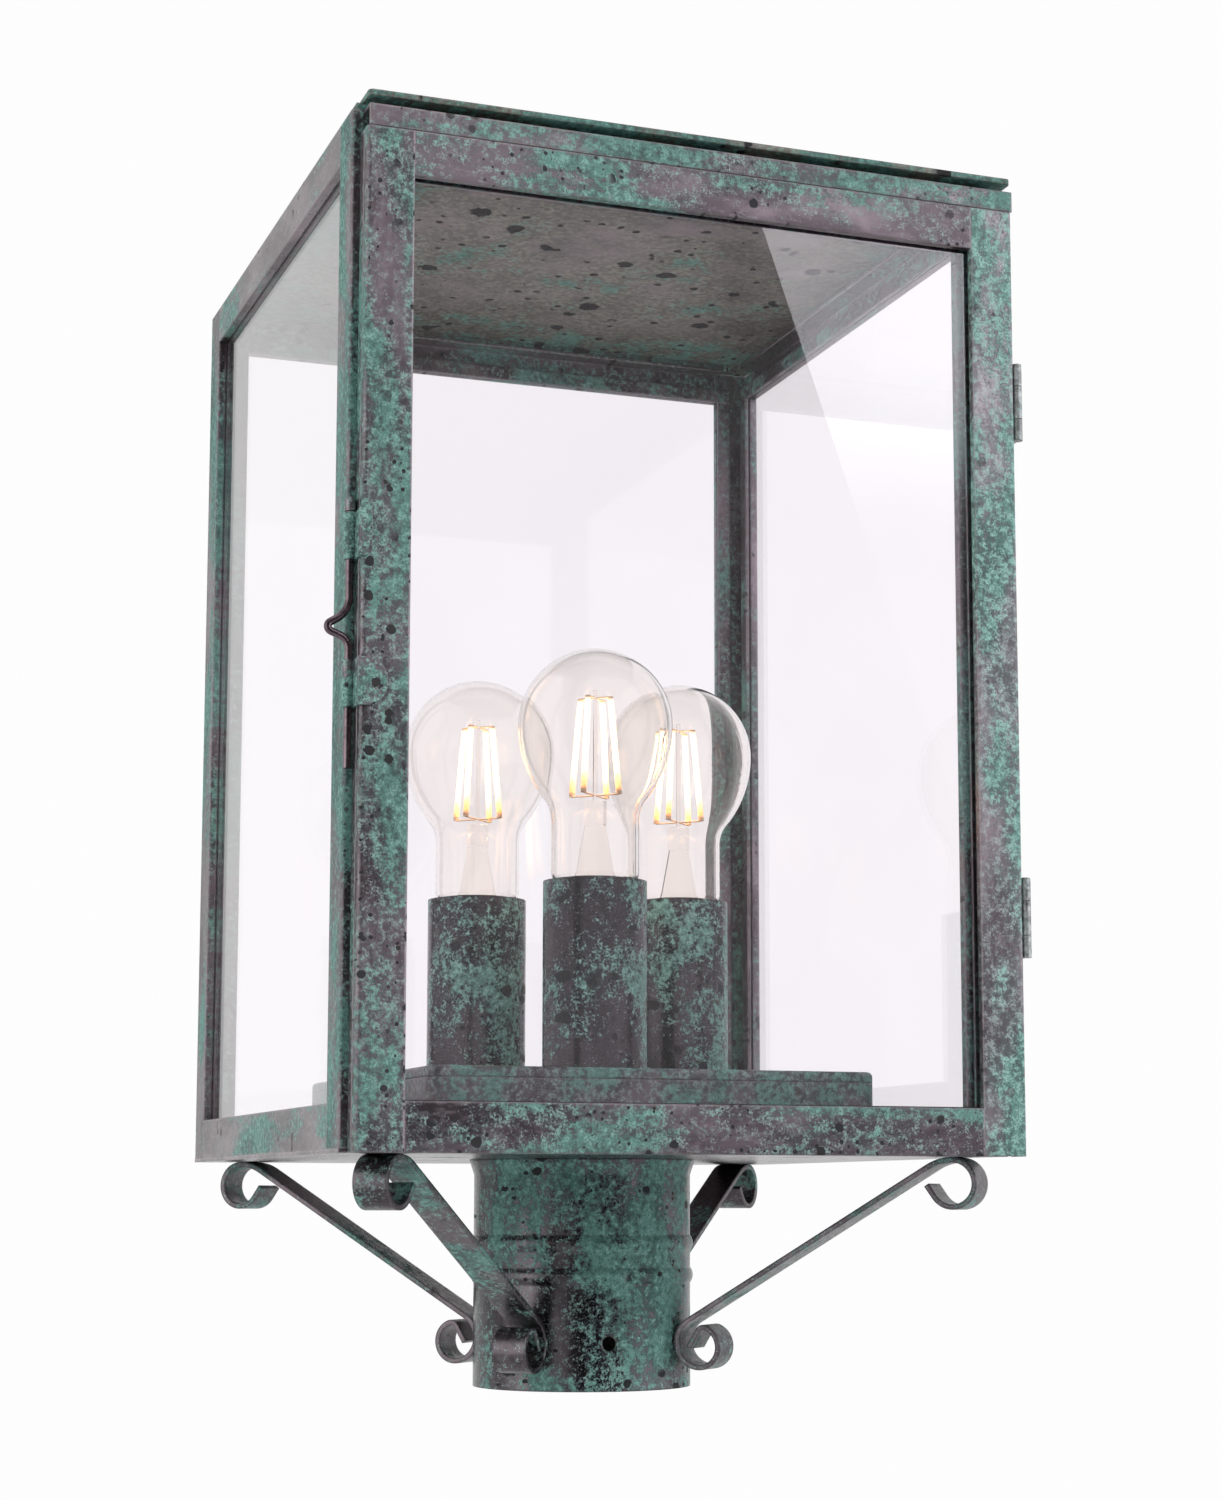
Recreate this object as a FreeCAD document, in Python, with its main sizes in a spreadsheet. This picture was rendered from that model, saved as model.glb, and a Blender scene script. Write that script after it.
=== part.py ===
"""Post top lantern: a square glazed body with a hinged door, three lamps and a scroll-bracketed post sleeve.

Origin on the axis of the post sleeve at its lower rim, +Z up, -Y towards the door, +X towards the hinges.
Lengths in millimetres.
"""
import FreeCAD, Part
import math
import os
import re
import Sketcher

V = FreeCAD.Vector
UP = V(0, 0, 1)
NEAR = 0.01
FULL_TURN = 360.0

# Driving dimensions: name, value, what it is.
SIZES = [
    ("sleeve_radius", 42.8, "post sleeve, outside radius"),
    ("sleeve_wall", 1.5, "post sleeve, wall"),
    ("sleeve_height", 88.0, "post sleeve, from its rim to the underside of the body"),
    ("bead_rise", 1.1, "rolled beads, how far they stand out"),
    ("bead_curve", 5.0, "rolled beads, radius of their curve"),
    ("bead_low", 43.0, "lower bead above the rim"),
    ("bead_high", 55.5, "upper bead above the rim"),
    ("flare_width", 2.0, "how far the sleeve's top flares out"),
    ("flare_height", 6.0, "height of that flare"),
    ("screw_hole_radius", 2.8, "set screw hole"),
    ("screw_hole_level", 18.0, "set screw hole above the rim"),
    ("screw_hole_bearing", -94.6, "direction of the first set screw hole, degrees from +X"),
    ("screw_hole_count", 2.0, "set screw holes around the sleeve"),
    ("body_width", 254.0, "body, left to right"),
    ("body_offset", 3.5, "body's middle, left of the sleeve's axis"),
    ("body_depth", 251.6, "body, front to back"),
    ("body_height", 369.1, "body, floor plate to the top of its posts"),
    ("sheet_wall", 1.5, "folded sheet of posts, rails and door"),
    ("lip_wall", 1.2, "thickness of the folded lip round each window"),
    ("edge_radius", 1.0, "rounding of the body's outer folded edges"),
    ("rail_flange", 10.0, "rail flanges at the floor and under the roof"),
    ("floor_thickness", 1.5, "floor plate"),
    ("cable_hole_radius", 8.0, "hole in the floor plate for the supply cable"),
    ("post_leg", 17.0, "width of each corner post's leg"),
    ("top_rail_height", 15.0, "upper rails of the body"),
    ("bottom_rail_height", 17.2, "lower rails of the body, floor plate included"),
    ("glass_recess", 3.3, "outer face of a rail to the outer face of its glass"),
    ("glass_thickness", 3.0, "window glass"),
    ("glass_overlap", 5.0, "glass hidden behind each rail"),
    ("strip_wall", 1.5, "glass retaining strips, thickness"),
    ("strip_width", 6.0, "glass retaining strips, width"),
    ("strip_cover", 0.5, "strip inside the window edge of the glass"),
    ("roof_gap", 2.55, "gap between posts and roof plate"),
    ("roof_thickness", 2.0, "roof plate"),
    ("roof_margin", 0.6, "roof plate narrower than the body"),
    ("roof_front", 9.3, "roof plate forward of the body's front"),
    ("roof_corner", 2.0, "roof plate corner radius"),
    ("seat_inset", 1.6, "roof seat in from the body's sides and back"),
    ("seat_width", 6.2, "roof seat bars"),
    ("door_margin", 0.25, "door narrower than the body"),
    ("door_drop", 9.1, "door's top below the top of the posts"),
    ("door_inset", 3.1, "door's latch edge in from the body's side"),
    ("door_gap", 0.3, "air between door and body"),
    ("door_depth", 9.85, "door, front to back"),
    ("door_edge", 1.4, "rounding of the door's outer upright edges"),
    ("door_stile", 17.4, "door stile width"),
    ("door_top_rail", 16.3, "door top rail height"),
    ("door_bottom_rail", 17.5, "door bottom rail height"),
    ("groove_back", 4.1, "groove in the stile's edge, back from the door's front"),
    ("groove_size", 0.5, "that groove, width and depth"),
    ("drip_wall", 0.8, "drip rail over the door"),
    ("drip_height", 7.8, "drip rail's front leg"),
    ("drip_margin", 0.8, "drip rail shorter than the body's width"),
    ("box_size", 176.0, "wiring box, square"),
    ("box_height", 30.9, "wiring box above the floor plate, lid included"),
    ("box_lid_height", 4.2, "wiring box lid"),
    ("box_wall", 1.2, "wiring box sheet"),
    ("box_corner", 6.0, "wiring box corner radius"),
    ("box_edge", 2.0, "rounding of the lid's upper edge"),
    ("lamp_circle", 48.0, "lamp axes from the lantern's axis"),
    ("lamp_bearing", -103.7, "direction of the front lamp, degrees from +X"),
    ("cup_radius", 20.0, "lamp sleeve, outside radius"),
    ("cup_wall", 1.2, "lamp sleeve wall"),
    ("cup_height", 73.2, "lamp sleeve"),
    ("nipple_radius", 5.0, "threaded nipple that holds each lampholder"),
    ("nipple_bore", 3.8, "its bore, radius"),
    ("nipple_tail", 8.0, "nipple below the lid's top"),
    ("nut_width", 14.0, "nipple nut across flats"),
    ("nut_height", 3.5, "nipple nut"),
    ("holder_level", 37.2, "underside of the lampholder above the lid"),
    ("holder_height", 32.0, "lampholder"),
    ("holder_radius", 17.0, "lampholder, outside radius"),
    ("holder_bore", 14.6, "lampholder, inside radius"),
    ("holder_floor", 5.0, "lampholder floor"),
    ("holder_chamfer", 3.0, "chamfer round the lampholder's foot"),
    ("contact_play", 0.1, "screw shell to the lampholder's bore"),
    ("contact_wall", 0.6, "screw shell sheet"),
    ("contact_height", 24.0, "screw shell"),
    ("contact_disc", 3.0, "centre contact radius"),
    ("cap_radius", 13.3, "lamp cap"),
    ("cap_height", 24.4, "lamp cap"),
    ("cap_shoulder", 3.5, "height of the lamp cap's tapered foot"),
    ("cap_inset", 0.4, "lamp cap's rim below the lamp sleeve's rim"),
    ("bulb_radius", 30.0, "bulb globe"),
    ("bulb_neck", 17.0, "bulb neck radius"),
    ("bulb_height", 91.2, "bulb glass above its cap"),
    ("bulb_waist", 24.8, "straight neck's upper end above the cap"),
    ("bulb_wall", 0.9, "bulb glass"),
    ("filament_radius", 1.1, "lamp filament rod"),
    ("filament_low", 34.2, "filament's lower end above the cap"),
    ("filament_rise", 38.0, "filament, height"),
    ("filament_spread", 10.2, "lower ends of the filaments from the lamp's axis"),
    ("filament_pinch", 6.4, "upper ends of the filaments from the lamp's axis"),
    ("filament_count", 4.0, "filaments in each lamp"),
    ("filament_wire", 0.3, "filament support wire radius"),
    ("stem_radius", 4.0, "glass stem"),
    ("stem_height", 32.0, "glass stem above the cap"),
    ("stem_rod", 0.9, "stem's centre rod radius"),
    ("stem_tip", 3.0, "stem's centre rod above the filaments"),
    ("terminal_length", 34.0, "terminal block"),
    ("terminal_width", 16.0, "terminal block"),
    ("terminal_height", 12.0, "terminal block"),
    ("terminal_place", 30.0, "terminal block behind the lantern's axis"),
    ("terminal_well", 2.2, "terminal block's screw wells, radius"),
    ("terminal_web", 4.8, "terminal block left below its wells"),
    ("lead_radius", 1.3, "leads inside the wiring box"),
    ("lead_gap", 0.7, "lead's end to the terminal block"),
    ("lead_bend", 6.0, "lead's bend, radius"),
    ("lead_top", 1.0, "lead's upper end below the lampholder"),
    ("earth_place", 60.0, "earth screw right of the lantern's axis"),
    ("earth_washer", 5.0, "earth screw's washer, radius"),
    ("earth_washer_wall", 1.0, "that washer, thickness"),
    ("earth_head", 3.5, "earth screw head, radius"),
    ("earth_head_height", 2.6, "earth screw head"),
    ("earth_slot", 0.9, "slot in the earth screw, width"),
    ("earth_slot_depth", 1.2, "slot in the earth screw, depth"),
    ("bar_width", 13.5, "scroll bracket bar"),
    ("bar_thickness", 2.0, "scroll bracket bar"),
    ("upper_scroll", 8.8, "upper scroll, radius to the bar's middle"),
    ("upper_reach", 156.0, "upper scroll's centre from the axis"),
    ("upper_entry", 18.0, "upper scroll's gentle first bend, radius to the bar's middle"),
    ("upper_tail", 5.5, "straight end of the upper scroll"),
    ("lower_scroll", 9.5, "lower scroll, radius to the bar's middle"),
    ("lower_tuck", 2.6, "lower scroll's last tight bend, radius to the bar's middle"),
    ("lower_tail", 7.5, "straight end of the lower scroll"),
    ("lower_level", 17.8, "lower scroll's centre above the rim"),
    ("weld_gap", 0.05, "bracket to sleeve"),
    ("hinge_radius", 1.85, "hinge knuckle"),
    ("hinge_pin", 1.1, "hinge pin radius"),
    ("hinge_play", 0.05, "radial play of the hinge pin"),
    ("hinge_head", 1.65, "hinge pin's head, radius"),
    ("hinge_head_height", 0.5, "hinge pin's head"),
    ("hinge_length", 29.4, "hinge, all knuckles"),
    ("hinge_middle", 12.6, "middle knuckle"),
    ("hinge_split", 0.25, "gap between knuckles"),
    ("hinge_leaf", 1.0, "hinge leaf"),
    ("hinge_crank", 2.0, "cranked leaf's bend behind the body's front"),
    ("hinge_plate", 13.0, "fixed leaf along the body's side"),
    ("hinge_side", 0.3, "door's edge to the knuckle"),
    ("hinge_front", 1.95, "hinge axis behind the door's front"),
    ("hinge_low", 88.1, "lower hinge's middle above the body's underside"),
    ("hinge_high", 285.4, "upper hinge's middle above the body's underside"),
    ("rod_radius", 1.4, "latch rod"),
    ("rod_play", 0.06, "radial play of the latch rod"),
    ("rod_low", 131.4, "latch rod's lower end above the body's underside"),
    ("rod_high", 224.4, "latch rod's tip above the body's underside"),
    ("rod_travel", 4.0, "latch rod's travel"),
    ("grip_reach", 9.6, "how far the rod's thumb bend stands out"),
    ("grip_level", 180.4, "thumb bend's tip above the body's underside"),
    ("grip_fall", 3.8, "bend's lower corner below its tip"),
    ("grip_rise", 6.0, "bend's upper corner above its tip"),
    ("grip_bend_low", 5.0, "bend's lower corner, radius"),
    ("grip_bend_high", 9.0, "bend's upper corner, radius"),
    ("grip_bend_tip", 1.8, "bend's tip, radius"),
    ("guide_radius", 2.1, "latch guide barrel"),
    ("guide_length", 16.8, "latch guide"),
    ("guide_low", 160.9, "lower guide's middle above the body's underside"),
    ("guide_high", 213.1, "upper guide's middle above the body's underside"),
    ("guide_leaf", 1.0, "latch guide leaf"),
    ("tongue_low", 9.4, "lower guide's leaf across the door's front"),
    ("tongue_high", 3.4, "upper guide's leaf across the door's front"),
    ("tongue_round_low", 7.6, "rounded corners of the lower guide's leaf"),
    ("tongue_round_high", 2.8, "rounded corners of the upper guide's leaf"),
    ("latch_side", 0.3, "door's edge to the guide barrel"),
    ("latch_back", 0.3, "guide barrel to the body's front"),
    ("keeper_radius", 2.0, "latch keeper"),
    ("keeper_bore", 1.52, "keeper bore radius"),
    ("keeper_gap", 0.4, "upper guide to the keeper"),
    ("keeper_height", 5.4, "keeper"),
    ("keeper_depth", 3.4, "keeper bore depth"),
]

# Places worked out from the driving dimensions.
DERIVED = {
    "half_left": "(body_width / 2 + body_offset)",
    "half_right": "(body_width / 2 - body_offset)",
    "half_depth": "(body_depth / 2)",
    "body_low": "sleeve_height",
    "floor_top": "(sleeve_height + floor_thickness)",
    "body_high": "(sleeve_height + body_height)",
    "post_height": "(body_height - floor_thickness)",
    "sill_top": "(sleeve_height + bottom_rail_height)",
    "sill_height": "(bottom_rail_height - floor_thickness)",
    "header_low": "(sleeve_height + body_height - top_rail_height)",
    "roof_low": "(sleeve_height + body_height + roof_gap)",
    "glass_low": "(sleeve_height + bottom_rail_height - glass_overlap)",
    "glass_high": "(sleeve_height + body_height - top_rail_height + glass_overlap)",
    "glass_height": "(body_height - bottom_rail_height - top_rail_height + 2 * glass_overlap)",
    "pane_depth": "(glass_recess + glass_thickness)",
    "strip_depth": "(glass_recess + glass_thickness + strip_wall)",
    "door_width": "(body_width - door_margin)",
    "door_height": "(body_height - door_drop)",
    "door_left": "(door_inset - half_left)",
    "door_right": "(door_inset - half_left + door_width)",
    "door_back": "(-body_depth / 2 - door_gap)",
    "door_front": "(-body_depth / 2 - door_gap - door_depth)",
    "door_high": "(sleeve_height + door_height)",
    "lid_top": "(sleeve_height + floor_thickness + box_height)",
    "lid_low": "(sleeve_height + floor_thickness + box_height - box_lid_height)",
    "holder_low": "(sleeve_height + floor_thickness + box_height + holder_level)",
    "cap_high": "(sleeve_height + floor_thickness + box_height + cup_height - cap_inset)",
    "hinge_x": "(door_inset - half_left + door_width + hinge_side + hinge_radius)",
    "hinge_y": "(-body_depth / 2 - door_gap - door_depth + hinge_front)",
    "latch_x": "(door_inset - half_left - latch_side - guide_radius)",
    "latch_y": "(-body_depth / 2 - latch_back - guide_radius)",
}

doc = FreeCAD.newDocument("lantern")
sheet = doc.addObject("Spreadsheet::Sheet", "Sheet")
for row, (alias, value, note) in enumerate(SIZES, start=1):
    sheet.set(f"A{row}", note)
    sheet.set(f"B{row}", str(value))
    sheet.setAlias(f"B{row}", alias)
doc.recompute()

ALIASES = {alias for alias, _, _ in SIZES}
SIDES = {-1: "half_left", 1: "half_right"}
NODES = []


def bound(text):
    """The expression with each derived place written out and each size taken from the sheet."""
    words = DERIVED.keys()
    while any(re.search(rf"\b{word}\b", text) for word in words):
        text = re.sub(r"\b[a-z_]+\b", lambda m: DERIVED.get(m.group(), m.group()), text)
    return re.sub(r"\b[a-z_]+\b", lambda m: "Sheet." + m.group() if m.group() in ALIASES else m.group(), text)


def size(text):
    """The number that an expression of sizes comes to."""
    result = sheet.evalExpression(bound(text))
    return float(getattr(result, "Value", result))


def place(item, x="0", y="0", z="0"):
    for axis, text in zip("xyz", (x, y, z)):
        item.setExpression(f"Placement.Base.{axis}", bound(text))


def node(item, name):
    """Marks an object as a finished piece, kept under that name."""
    item.Label = name
    NODES.append(item)
    return item


# ---- solids bound to the sheet ----

def box(name, low, span):
    """A box from its low corner and its three lengths, all expressions."""
    item = doc.addObject("Part::Box", name)
    for prop, text in zip(("Length", "Width", "Height"), span):
        item.setExpression(prop, bound(text))
    place(item, *low)
    return item


def cylinder(name, radius, height, at):
    item = doc.addObject("Part::Cylinder", name)
    item.setExpression("Radius", bound(radius))
    item.setExpression("Height", bound(height))
    place(item, *at)
    return item


def cut(name, base, tool):
    item = doc.addObject("Part::Cut", name)
    item.Base, item.Tool = base, tool
    return item


def fuse(name, *items):
    item = doc.addObject("Part::MultiFuse", name)
    item.Shapes = list(items)
    return item


def group(name, items):
    """Several separate solids kept as one piece of the list."""
    item = doc.addObject("Part::Compound", name)
    item.Links = list(items)
    return item


def sketch(body, plane, points):
    """A closed outline of straight edges whose corners are bound to the sheet."""
    outline = body.newObject("Sketcher::SketchObject", body.Name + "_outline")
    origin_plane = [part for part in body.Origin.OriginFeatures if part.Role == plane][0]
    outline.AttachmentSupport = [(origin_plane, "")]
    outline.MapMode = "FlatFace"
    corners = [V(size(x), size(y), 0) for x, y in points]
    for start, end in zip(corners, corners[1:] + corners[:1]):
        outline.addGeometry(Part.LineSegment(start, end), False)
    count = len(corners)
    for index in range(count):
        outline.addConstraint(Sketcher.Constraint("Coincident", index, 2, (index + 1) % count, 1))
    for index, (corner, (x, y)) in enumerate(zip(corners, points)):
        for kind, value, text in (("DistanceX", corner.x, x), ("DistanceY", corner.y, y)):
            number = outline.addConstraint(Sketcher.Constraint(kind, -1, 1, index, 1, value))
            outline.setExpression(f"Constraints[{number}]", bound(text))
    return outline


def padded(name, plane, points, length, symmetric=False, low=("0", "0", "0")):
    """A body padded from an outline, either way from its plane or both ways alike."""
    body = doc.addObject("PartDesign::Body", name)
    outline = sketch(body, plane, points)
    pad = body.newObject("PartDesign::Pad", name + "_pad")
    pad.Profile = outline
    pad.setExpression("Length", bound(length))
    if symmetric:
        pad.SideType = "Symmetric"
    outline.Visibility = False
    place(body, *low)
    doc.recompute()
    return body


def revolved(name, points, x, y, z):
    """A body turned about its own upright axis from an outline of radius and height."""
    body = doc.addObject("PartDesign::Body", name)
    outline = sketch(body, "XZ_Plane", points)
    turn = body.newObject("PartDesign::Revolution", name + "_turn")
    turn.Profile = outline
    turn.ReferenceAxis = (outline, ["V_Axis"])
    turn.Angle = FULL_TURN
    place(body, x, y, z)
    doc.recompute()
    return body


def rounded(body, radius, chosen):
    """Fillets the edges of a body's tip that the test picks by its ends and middle."""
    tip = body.Tip
    names = []
    for number, edge in enumerate(tip.Shape.Edges, start=1):
        if chosen(edge):
            names.append(f"Edge{number}")
    fillet = body.newObject("PartDesign::Fillet", body.Name + "_fillet")
    fillet.Base = (tip, names)
    fillet.setExpression("Radius", bound(radius))
    doc.recompute()
    return body


def upright(edge):
    return edge.BoundBox.ZLength > edge.Length / 2


def upright_at(x, y):
    """A test for the upright edges that stand at a point of the plan."""
    def test(edge):
        middle = edge.CenterOfMass
        return abs(middle.x - x) < NEAR and abs(middle.y - y) < NEAR and upright(edge)
    return test


def solid_node(name, shapes, position=None, angle=0.0):
    """A piece whose solids are made directly, from sizes read off the sheet."""
    item = doc.addObject("Part::Feature", name)
    item.Shape = shapes[0] if len(shapes) == 1 else Part.makeCompound(shapes)
    item.Placement = FreeCAD.Placement(position or V(0, 0, 0), FreeCAD.Rotation(UP, angle))
    return node(item, name)


# ---- body frame ----

def corner_post(name, side, face):
    """An angle post with a folded lip along the free edge of each leg."""
    def corner(inward, forward):
        return (f"{side} * ({SIDES[side]} - ({inward}))", f"{face} * (half_depth - ({forward}))")
    points = [
        corner("0", "0"),
        corner("post_leg", "0"),
        corner("post_leg", "glass_recess"),
        corner("post_leg - lip_wall", "glass_recess"),
        corner("post_leg - lip_wall", "sheet_wall"),
        corner("sheet_wall", "sheet_wall"),
        corner("sheet_wall", "post_leg - lip_wall"),
        corner("glass_recess", "post_leg - lip_wall"),
        corner("glass_recess", "post_leg"),
        corner("0", "post_leg"),
    ]
    post = padded(name, "XY_Plane", points, "post_height", low=("0", "0", "floor_top"))
    rounded(post, "edge_radius", upright_at(side * size(SIDES[side]), face * size("half_depth")))
    node(post, name)


def rail_section(sign, half, height, upward):
    """Section of a body rail: an upright face, a lip next to the window and a flange at the other edge."""
    def corner(inward, level):
        level = level if upward else f"{height} - ({level})"
        return (f"{sign} * ({half} - ({inward}))", level)
    return [
        corner("0", "0"),
        corner("rail_flange", "0"),
        corner("rail_flange", "sheet_wall"),
        corner("sheet_wall", "sheet_wall"),
        corner("sheet_wall", f"{height} - lip_wall"),
        corner("glass_recess", f"{height} - lip_wall"),
        corner("glass_recess", height),
        corner("0", height),
    ]


def body_rail(name, along_x, sign, upper):
    half = "half_depth" if along_x else SIDES[sign]
    height = "top_rail_height" if upper else "sill_height"
    length = "body_width - 2 * post_leg" if along_x else "body_depth - 2 * post_leg"
    plane = "YZ_Plane" if along_x else "XZ_Plane"
    points = rail_section(sign, half, height, not upper)
    low = "header_low" if upper else "floor_top"
    middle = "-body_offset" if along_x else "0"
    node(padded(name, plane, points, length, symmetric=True, low=(middle, "0", low)), name)


def floor_plate():
    plate = box("floor_sheet", ("-half_left", "-half_depth", "body_low"),
                ("body_width", "body_depth", "floor_thickness"))
    hole = cylinder("floor_hole", "cable_hole_radius", "3 * floor_thickness",
                    ("0", "0", "body_low - floor_thickness"))
    node(cut("floor_plate", plate, hole), "floor_plate")


def roof_plate():
    half = "(body_width - roof_margin) / 2"
    points = [
        (f"-{half}", "-half_depth - roof_front"),
        (half, "-half_depth - roof_front"),
        (half, "half_depth"),
        (f"-{half}", "half_depth"),
    ]
    plate = padded("roof_plate", "XY_Plane", points, "roof_thickness", low=("0", "0", "roof_low"))
    rounded(plate, "roof_corner", upright)
    node(plate, "roof_plate")


def roof_seat():
    """Four bars on the upper rails' flanges that hold the roof plate off the body."""
    left, right = "-(half_left - seat_inset)", "(half_right - seat_inset - seat_width)"
    front, back = "(-half_depth)", "(half_depth - seat_inset - seat_width)"
    across = ("half_left + half_right - 2 * seat_inset", "seat_width", "roof_gap")
    along = ("seat_width", f"{back} - {front} - seat_width", "roof_gap")
    bars = [
        box("seat_front", (left, front, "body_high"), across),
        box("seat_back", (left, back, "body_high"), across),
        box("seat_left", (left, f"{front} + seat_width", "body_high"), along),
        box("seat_right", (right, f"{front} + seat_width", "body_high"), along),
    ]
    node(group("roof_seat", bars), "roof_seat")


def drip_rail():
    """A thin angle over the door, its flat leg running back to the body's header."""
    low = "(door_high + door_gap)"
    points = [
        ("door_front", low),
        ("door_front + drip_wall", low),
        ("door_front + drip_wall", f"{low} + drip_height - drip_wall"),
        ("-half_depth", f"{low} + drip_height - drip_wall"),
        ("-half_depth", f"{low} + drip_height"),
        ("door_front", f"{low} + drip_height"),
    ]
    node(padded("drip_rail", "YZ_Plane", points, "body_width - drip_margin", symmetric=True), "drip_rail")


# ---- windows ----

def pane(name, low, span):
    node(box(name, low, span), name)


def window_glass():
    side_span = ("glass_thickness", "body_depth - 2 * post_leg + 2 * glass_overlap", "glass_height")
    side_y = "-(half_depth - post_leg + glass_overlap)"
    pane("glass_left", ("-(half_left - glass_recess)", side_y, "glass_low"), side_span)
    pane("glass_right", ("half_right - pane_depth", side_y, "glass_low"), side_span)
    pane("glass_back", ("-(half_left - post_leg + glass_overlap)", "half_depth - pane_depth", "glass_low"),
         ("body_width - 2 * post_leg + 2 * glass_overlap", "glass_thickness", "glass_height"))


def strip_frame(name, plane, across, upright):
    """Four flat bars round a window's inner side; plane gives their outer face and the axis it is on."""
    axis, face = plane
    (low, high), (bottom, top) = across, upright
    width = "strip_width"

    def bar(part, start, length, level, height):
        corner = (face, start, level) if axis == "x" else (start, face, level)
        span = ("strip_wall", length, height) if axis == "x" else (length, "strip_wall", height)
        return box(f"{name}_{part}", corner, span)
    upright_span = (f"({bottom}) + {width}", f"({top}) - ({bottom}) - 2 * {width}")
    bars = [
        bar("low", low, f"({high}) - ({low})", bottom, width),
        bar("high", low, f"({high}) - ({low})", f"({top}) - {width}", width),
        bar("start", low, width, *upright_span),
        bar("end", f"({high}) - {width}", width, *upright_span),
    ]
    node(group(name, bars), name)


def body_strips():
    """Strip frames of the three body windows, reaching a little way behind posts and rails."""
    behind = "(strip_width - strip_cover)"
    upright = (f"sill_top - {behind}", f"header_low + {behind}")
    half = f"(half_depth - post_leg + {behind})"
    strip_frame("glass_strips_left", ("x", "-(half_left - pane_depth)"), (f"-{half}", half), upright)
    strip_frame("glass_strips_right", ("x", "half_right - strip_depth"), (f"-{half}", half), upright)
    across = (f"-(half_left - post_leg + {behind})", f"half_right - post_leg + {behind}")
    strip_frame("glass_strips_back", ("y", "half_depth - strip_depth"), across, upright)


# ---- door ----

def door_stile(name, edge, sign):
    """A stile with a deep outer edge, a groove along it and a lip next to the glass."""
    def corner(inward, backward):
        return (f"{edge} + {sign} * ({inward})", f"door_front + ({backward})")
    points = [
        corner("0", "0"),
        corner("door_stile", "0"),
        corner("door_stile", "glass_recess"),
        corner("door_stile - lip_wall", "glass_recess"),
        corner("door_stile - lip_wall", "sheet_wall"),
        corner("sheet_wall", "sheet_wall"),
        corner("sheet_wall", "door_depth"),
        corner("0", "door_depth"),
        corner("0", "groove_back + groove_size"),
        corner("groove_size", "groove_back + groove_size"),
        corner("groove_size", "groove_back"),
        corner("0", "groove_back"),
    ]
    stile = padded(name, "XY_Plane", points, "door_height", low=("0", "0", "body_low"))
    rounded(stile, "door_edge", upright_at(size(edge), size("door_front")))
    node(stile, name)


def door_rail(name, height, upper):
    def corner(backward, level):
        level = level if not upper else f"{height} - ({level})"
        return (f"door_front + ({backward})", level)
    points = [
        corner("0", "0"),
        corner("door_depth", "0"),
        corner("door_depth", "sheet_wall"),
        corner("sheet_wall", "sheet_wall"),
        corner("sheet_wall", f"{height} - lip_wall"),
        corner("glass_recess", f"{height} - lip_wall"),
        corner("glass_recess", height),
        corner("0", height),
    ]
    low = f"door_high - {height}" if upper else "body_low"
    rail = padded(name, "YZ_Plane", points, "door_width - 2 * door_stile", symmetric=True,
                  low=("(door_left + door_right) / 2", "0", low))
    node(rail, name)


def door_glazing():
    low, high = "(body_low + door_bottom_rail - glass_overlap)", "(door_high - door_top_rail + glass_overlap)"
    left, right = "(door_left + door_stile - glass_overlap)", "(door_right - door_stile + glass_overlap)"
    pane("door_glass", (left, "door_front + glass_recess", low),
         (f"{right} - {left}", "glass_thickness", f"{high} - {low}"))
    behind = "(strip_width - strip_cover)"
    across = (f"door_left + door_stile - {behind}", f"door_right - door_stile + {behind}")
    upright = (f"body_low + door_bottom_rail - {behind}", f"door_high - door_top_rail + {behind}")
    strip_frame("door_glass_strips", ("y", "door_front + pane_depth"), across, upright)


# ---- hinges ----

HINGE_LEVELS = ("hinge_low", "hinge_high")


def knuckle(low, height):
    """A hinge knuckle with its bore, at a height above the rim."""
    base = V(size("hinge_x"), size("hinge_y"), low)
    outer = Part.makeCylinder(size("hinge_radius"), height, base)
    bore = Part.makeCylinder(size("hinge_pin + hinge_play"), height, base)
    return outer, bore


def hinge_frame_leaves():
    """Fixed leaves: outer knuckles on a plate cranked in to the body's side."""
    solids = []
    leaf = size("hinge_leaf")
    end = size("(hinge_length - hinge_middle) / 2 - hinge_split")
    for level in HINGE_LEVELS:
        low = size(f"body_low + {level} - hinge_length / 2")
        high = low + size("hinge_length") - end
        x = size("hinge_x") - leaf / 2
        y = size("hinge_y")
        side = size("half_right")
        bend = size("hinge_crank - half_depth")
        for base in (low, high):
            outer, bore = knuckle(base, end)
            arm = Part.makeBox(leaf, bend + leaf - y, end, V(x, y, base))
            crank = Part.makeBox(x - side, leaf, end, V(side, bend, base))
            plate = Part.makeBox(leaf, size("hinge_plate"), end, V(side, bend, base))
            solids.append(outer.fuse([arm, crank, plate]).cut(bore).removeSplitter())
    solid_node("hinge_frame_leaves", solids)


def hinge_door_leaves():
    """Moving leaves: the middle knuckle on a plate against the door's edge."""
    solids = []
    height = size("hinge_middle")
    for level in HINGE_LEVELS:
        low = size(f"body_low + {level} - hinge_middle / 2")
        outer, bore = knuckle(low, height)
        depth = size("door_back - hinge_y") - size("hinge_leaf")
        plate = Part.makeBox(size("hinge_leaf"), depth, height, V(size("door_right"), size("hinge_y"), low))
        solids.append(outer.fuse(plate).cut(bore).removeSplitter())
    solid_node("hinge_door_leaves", solids)


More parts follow.
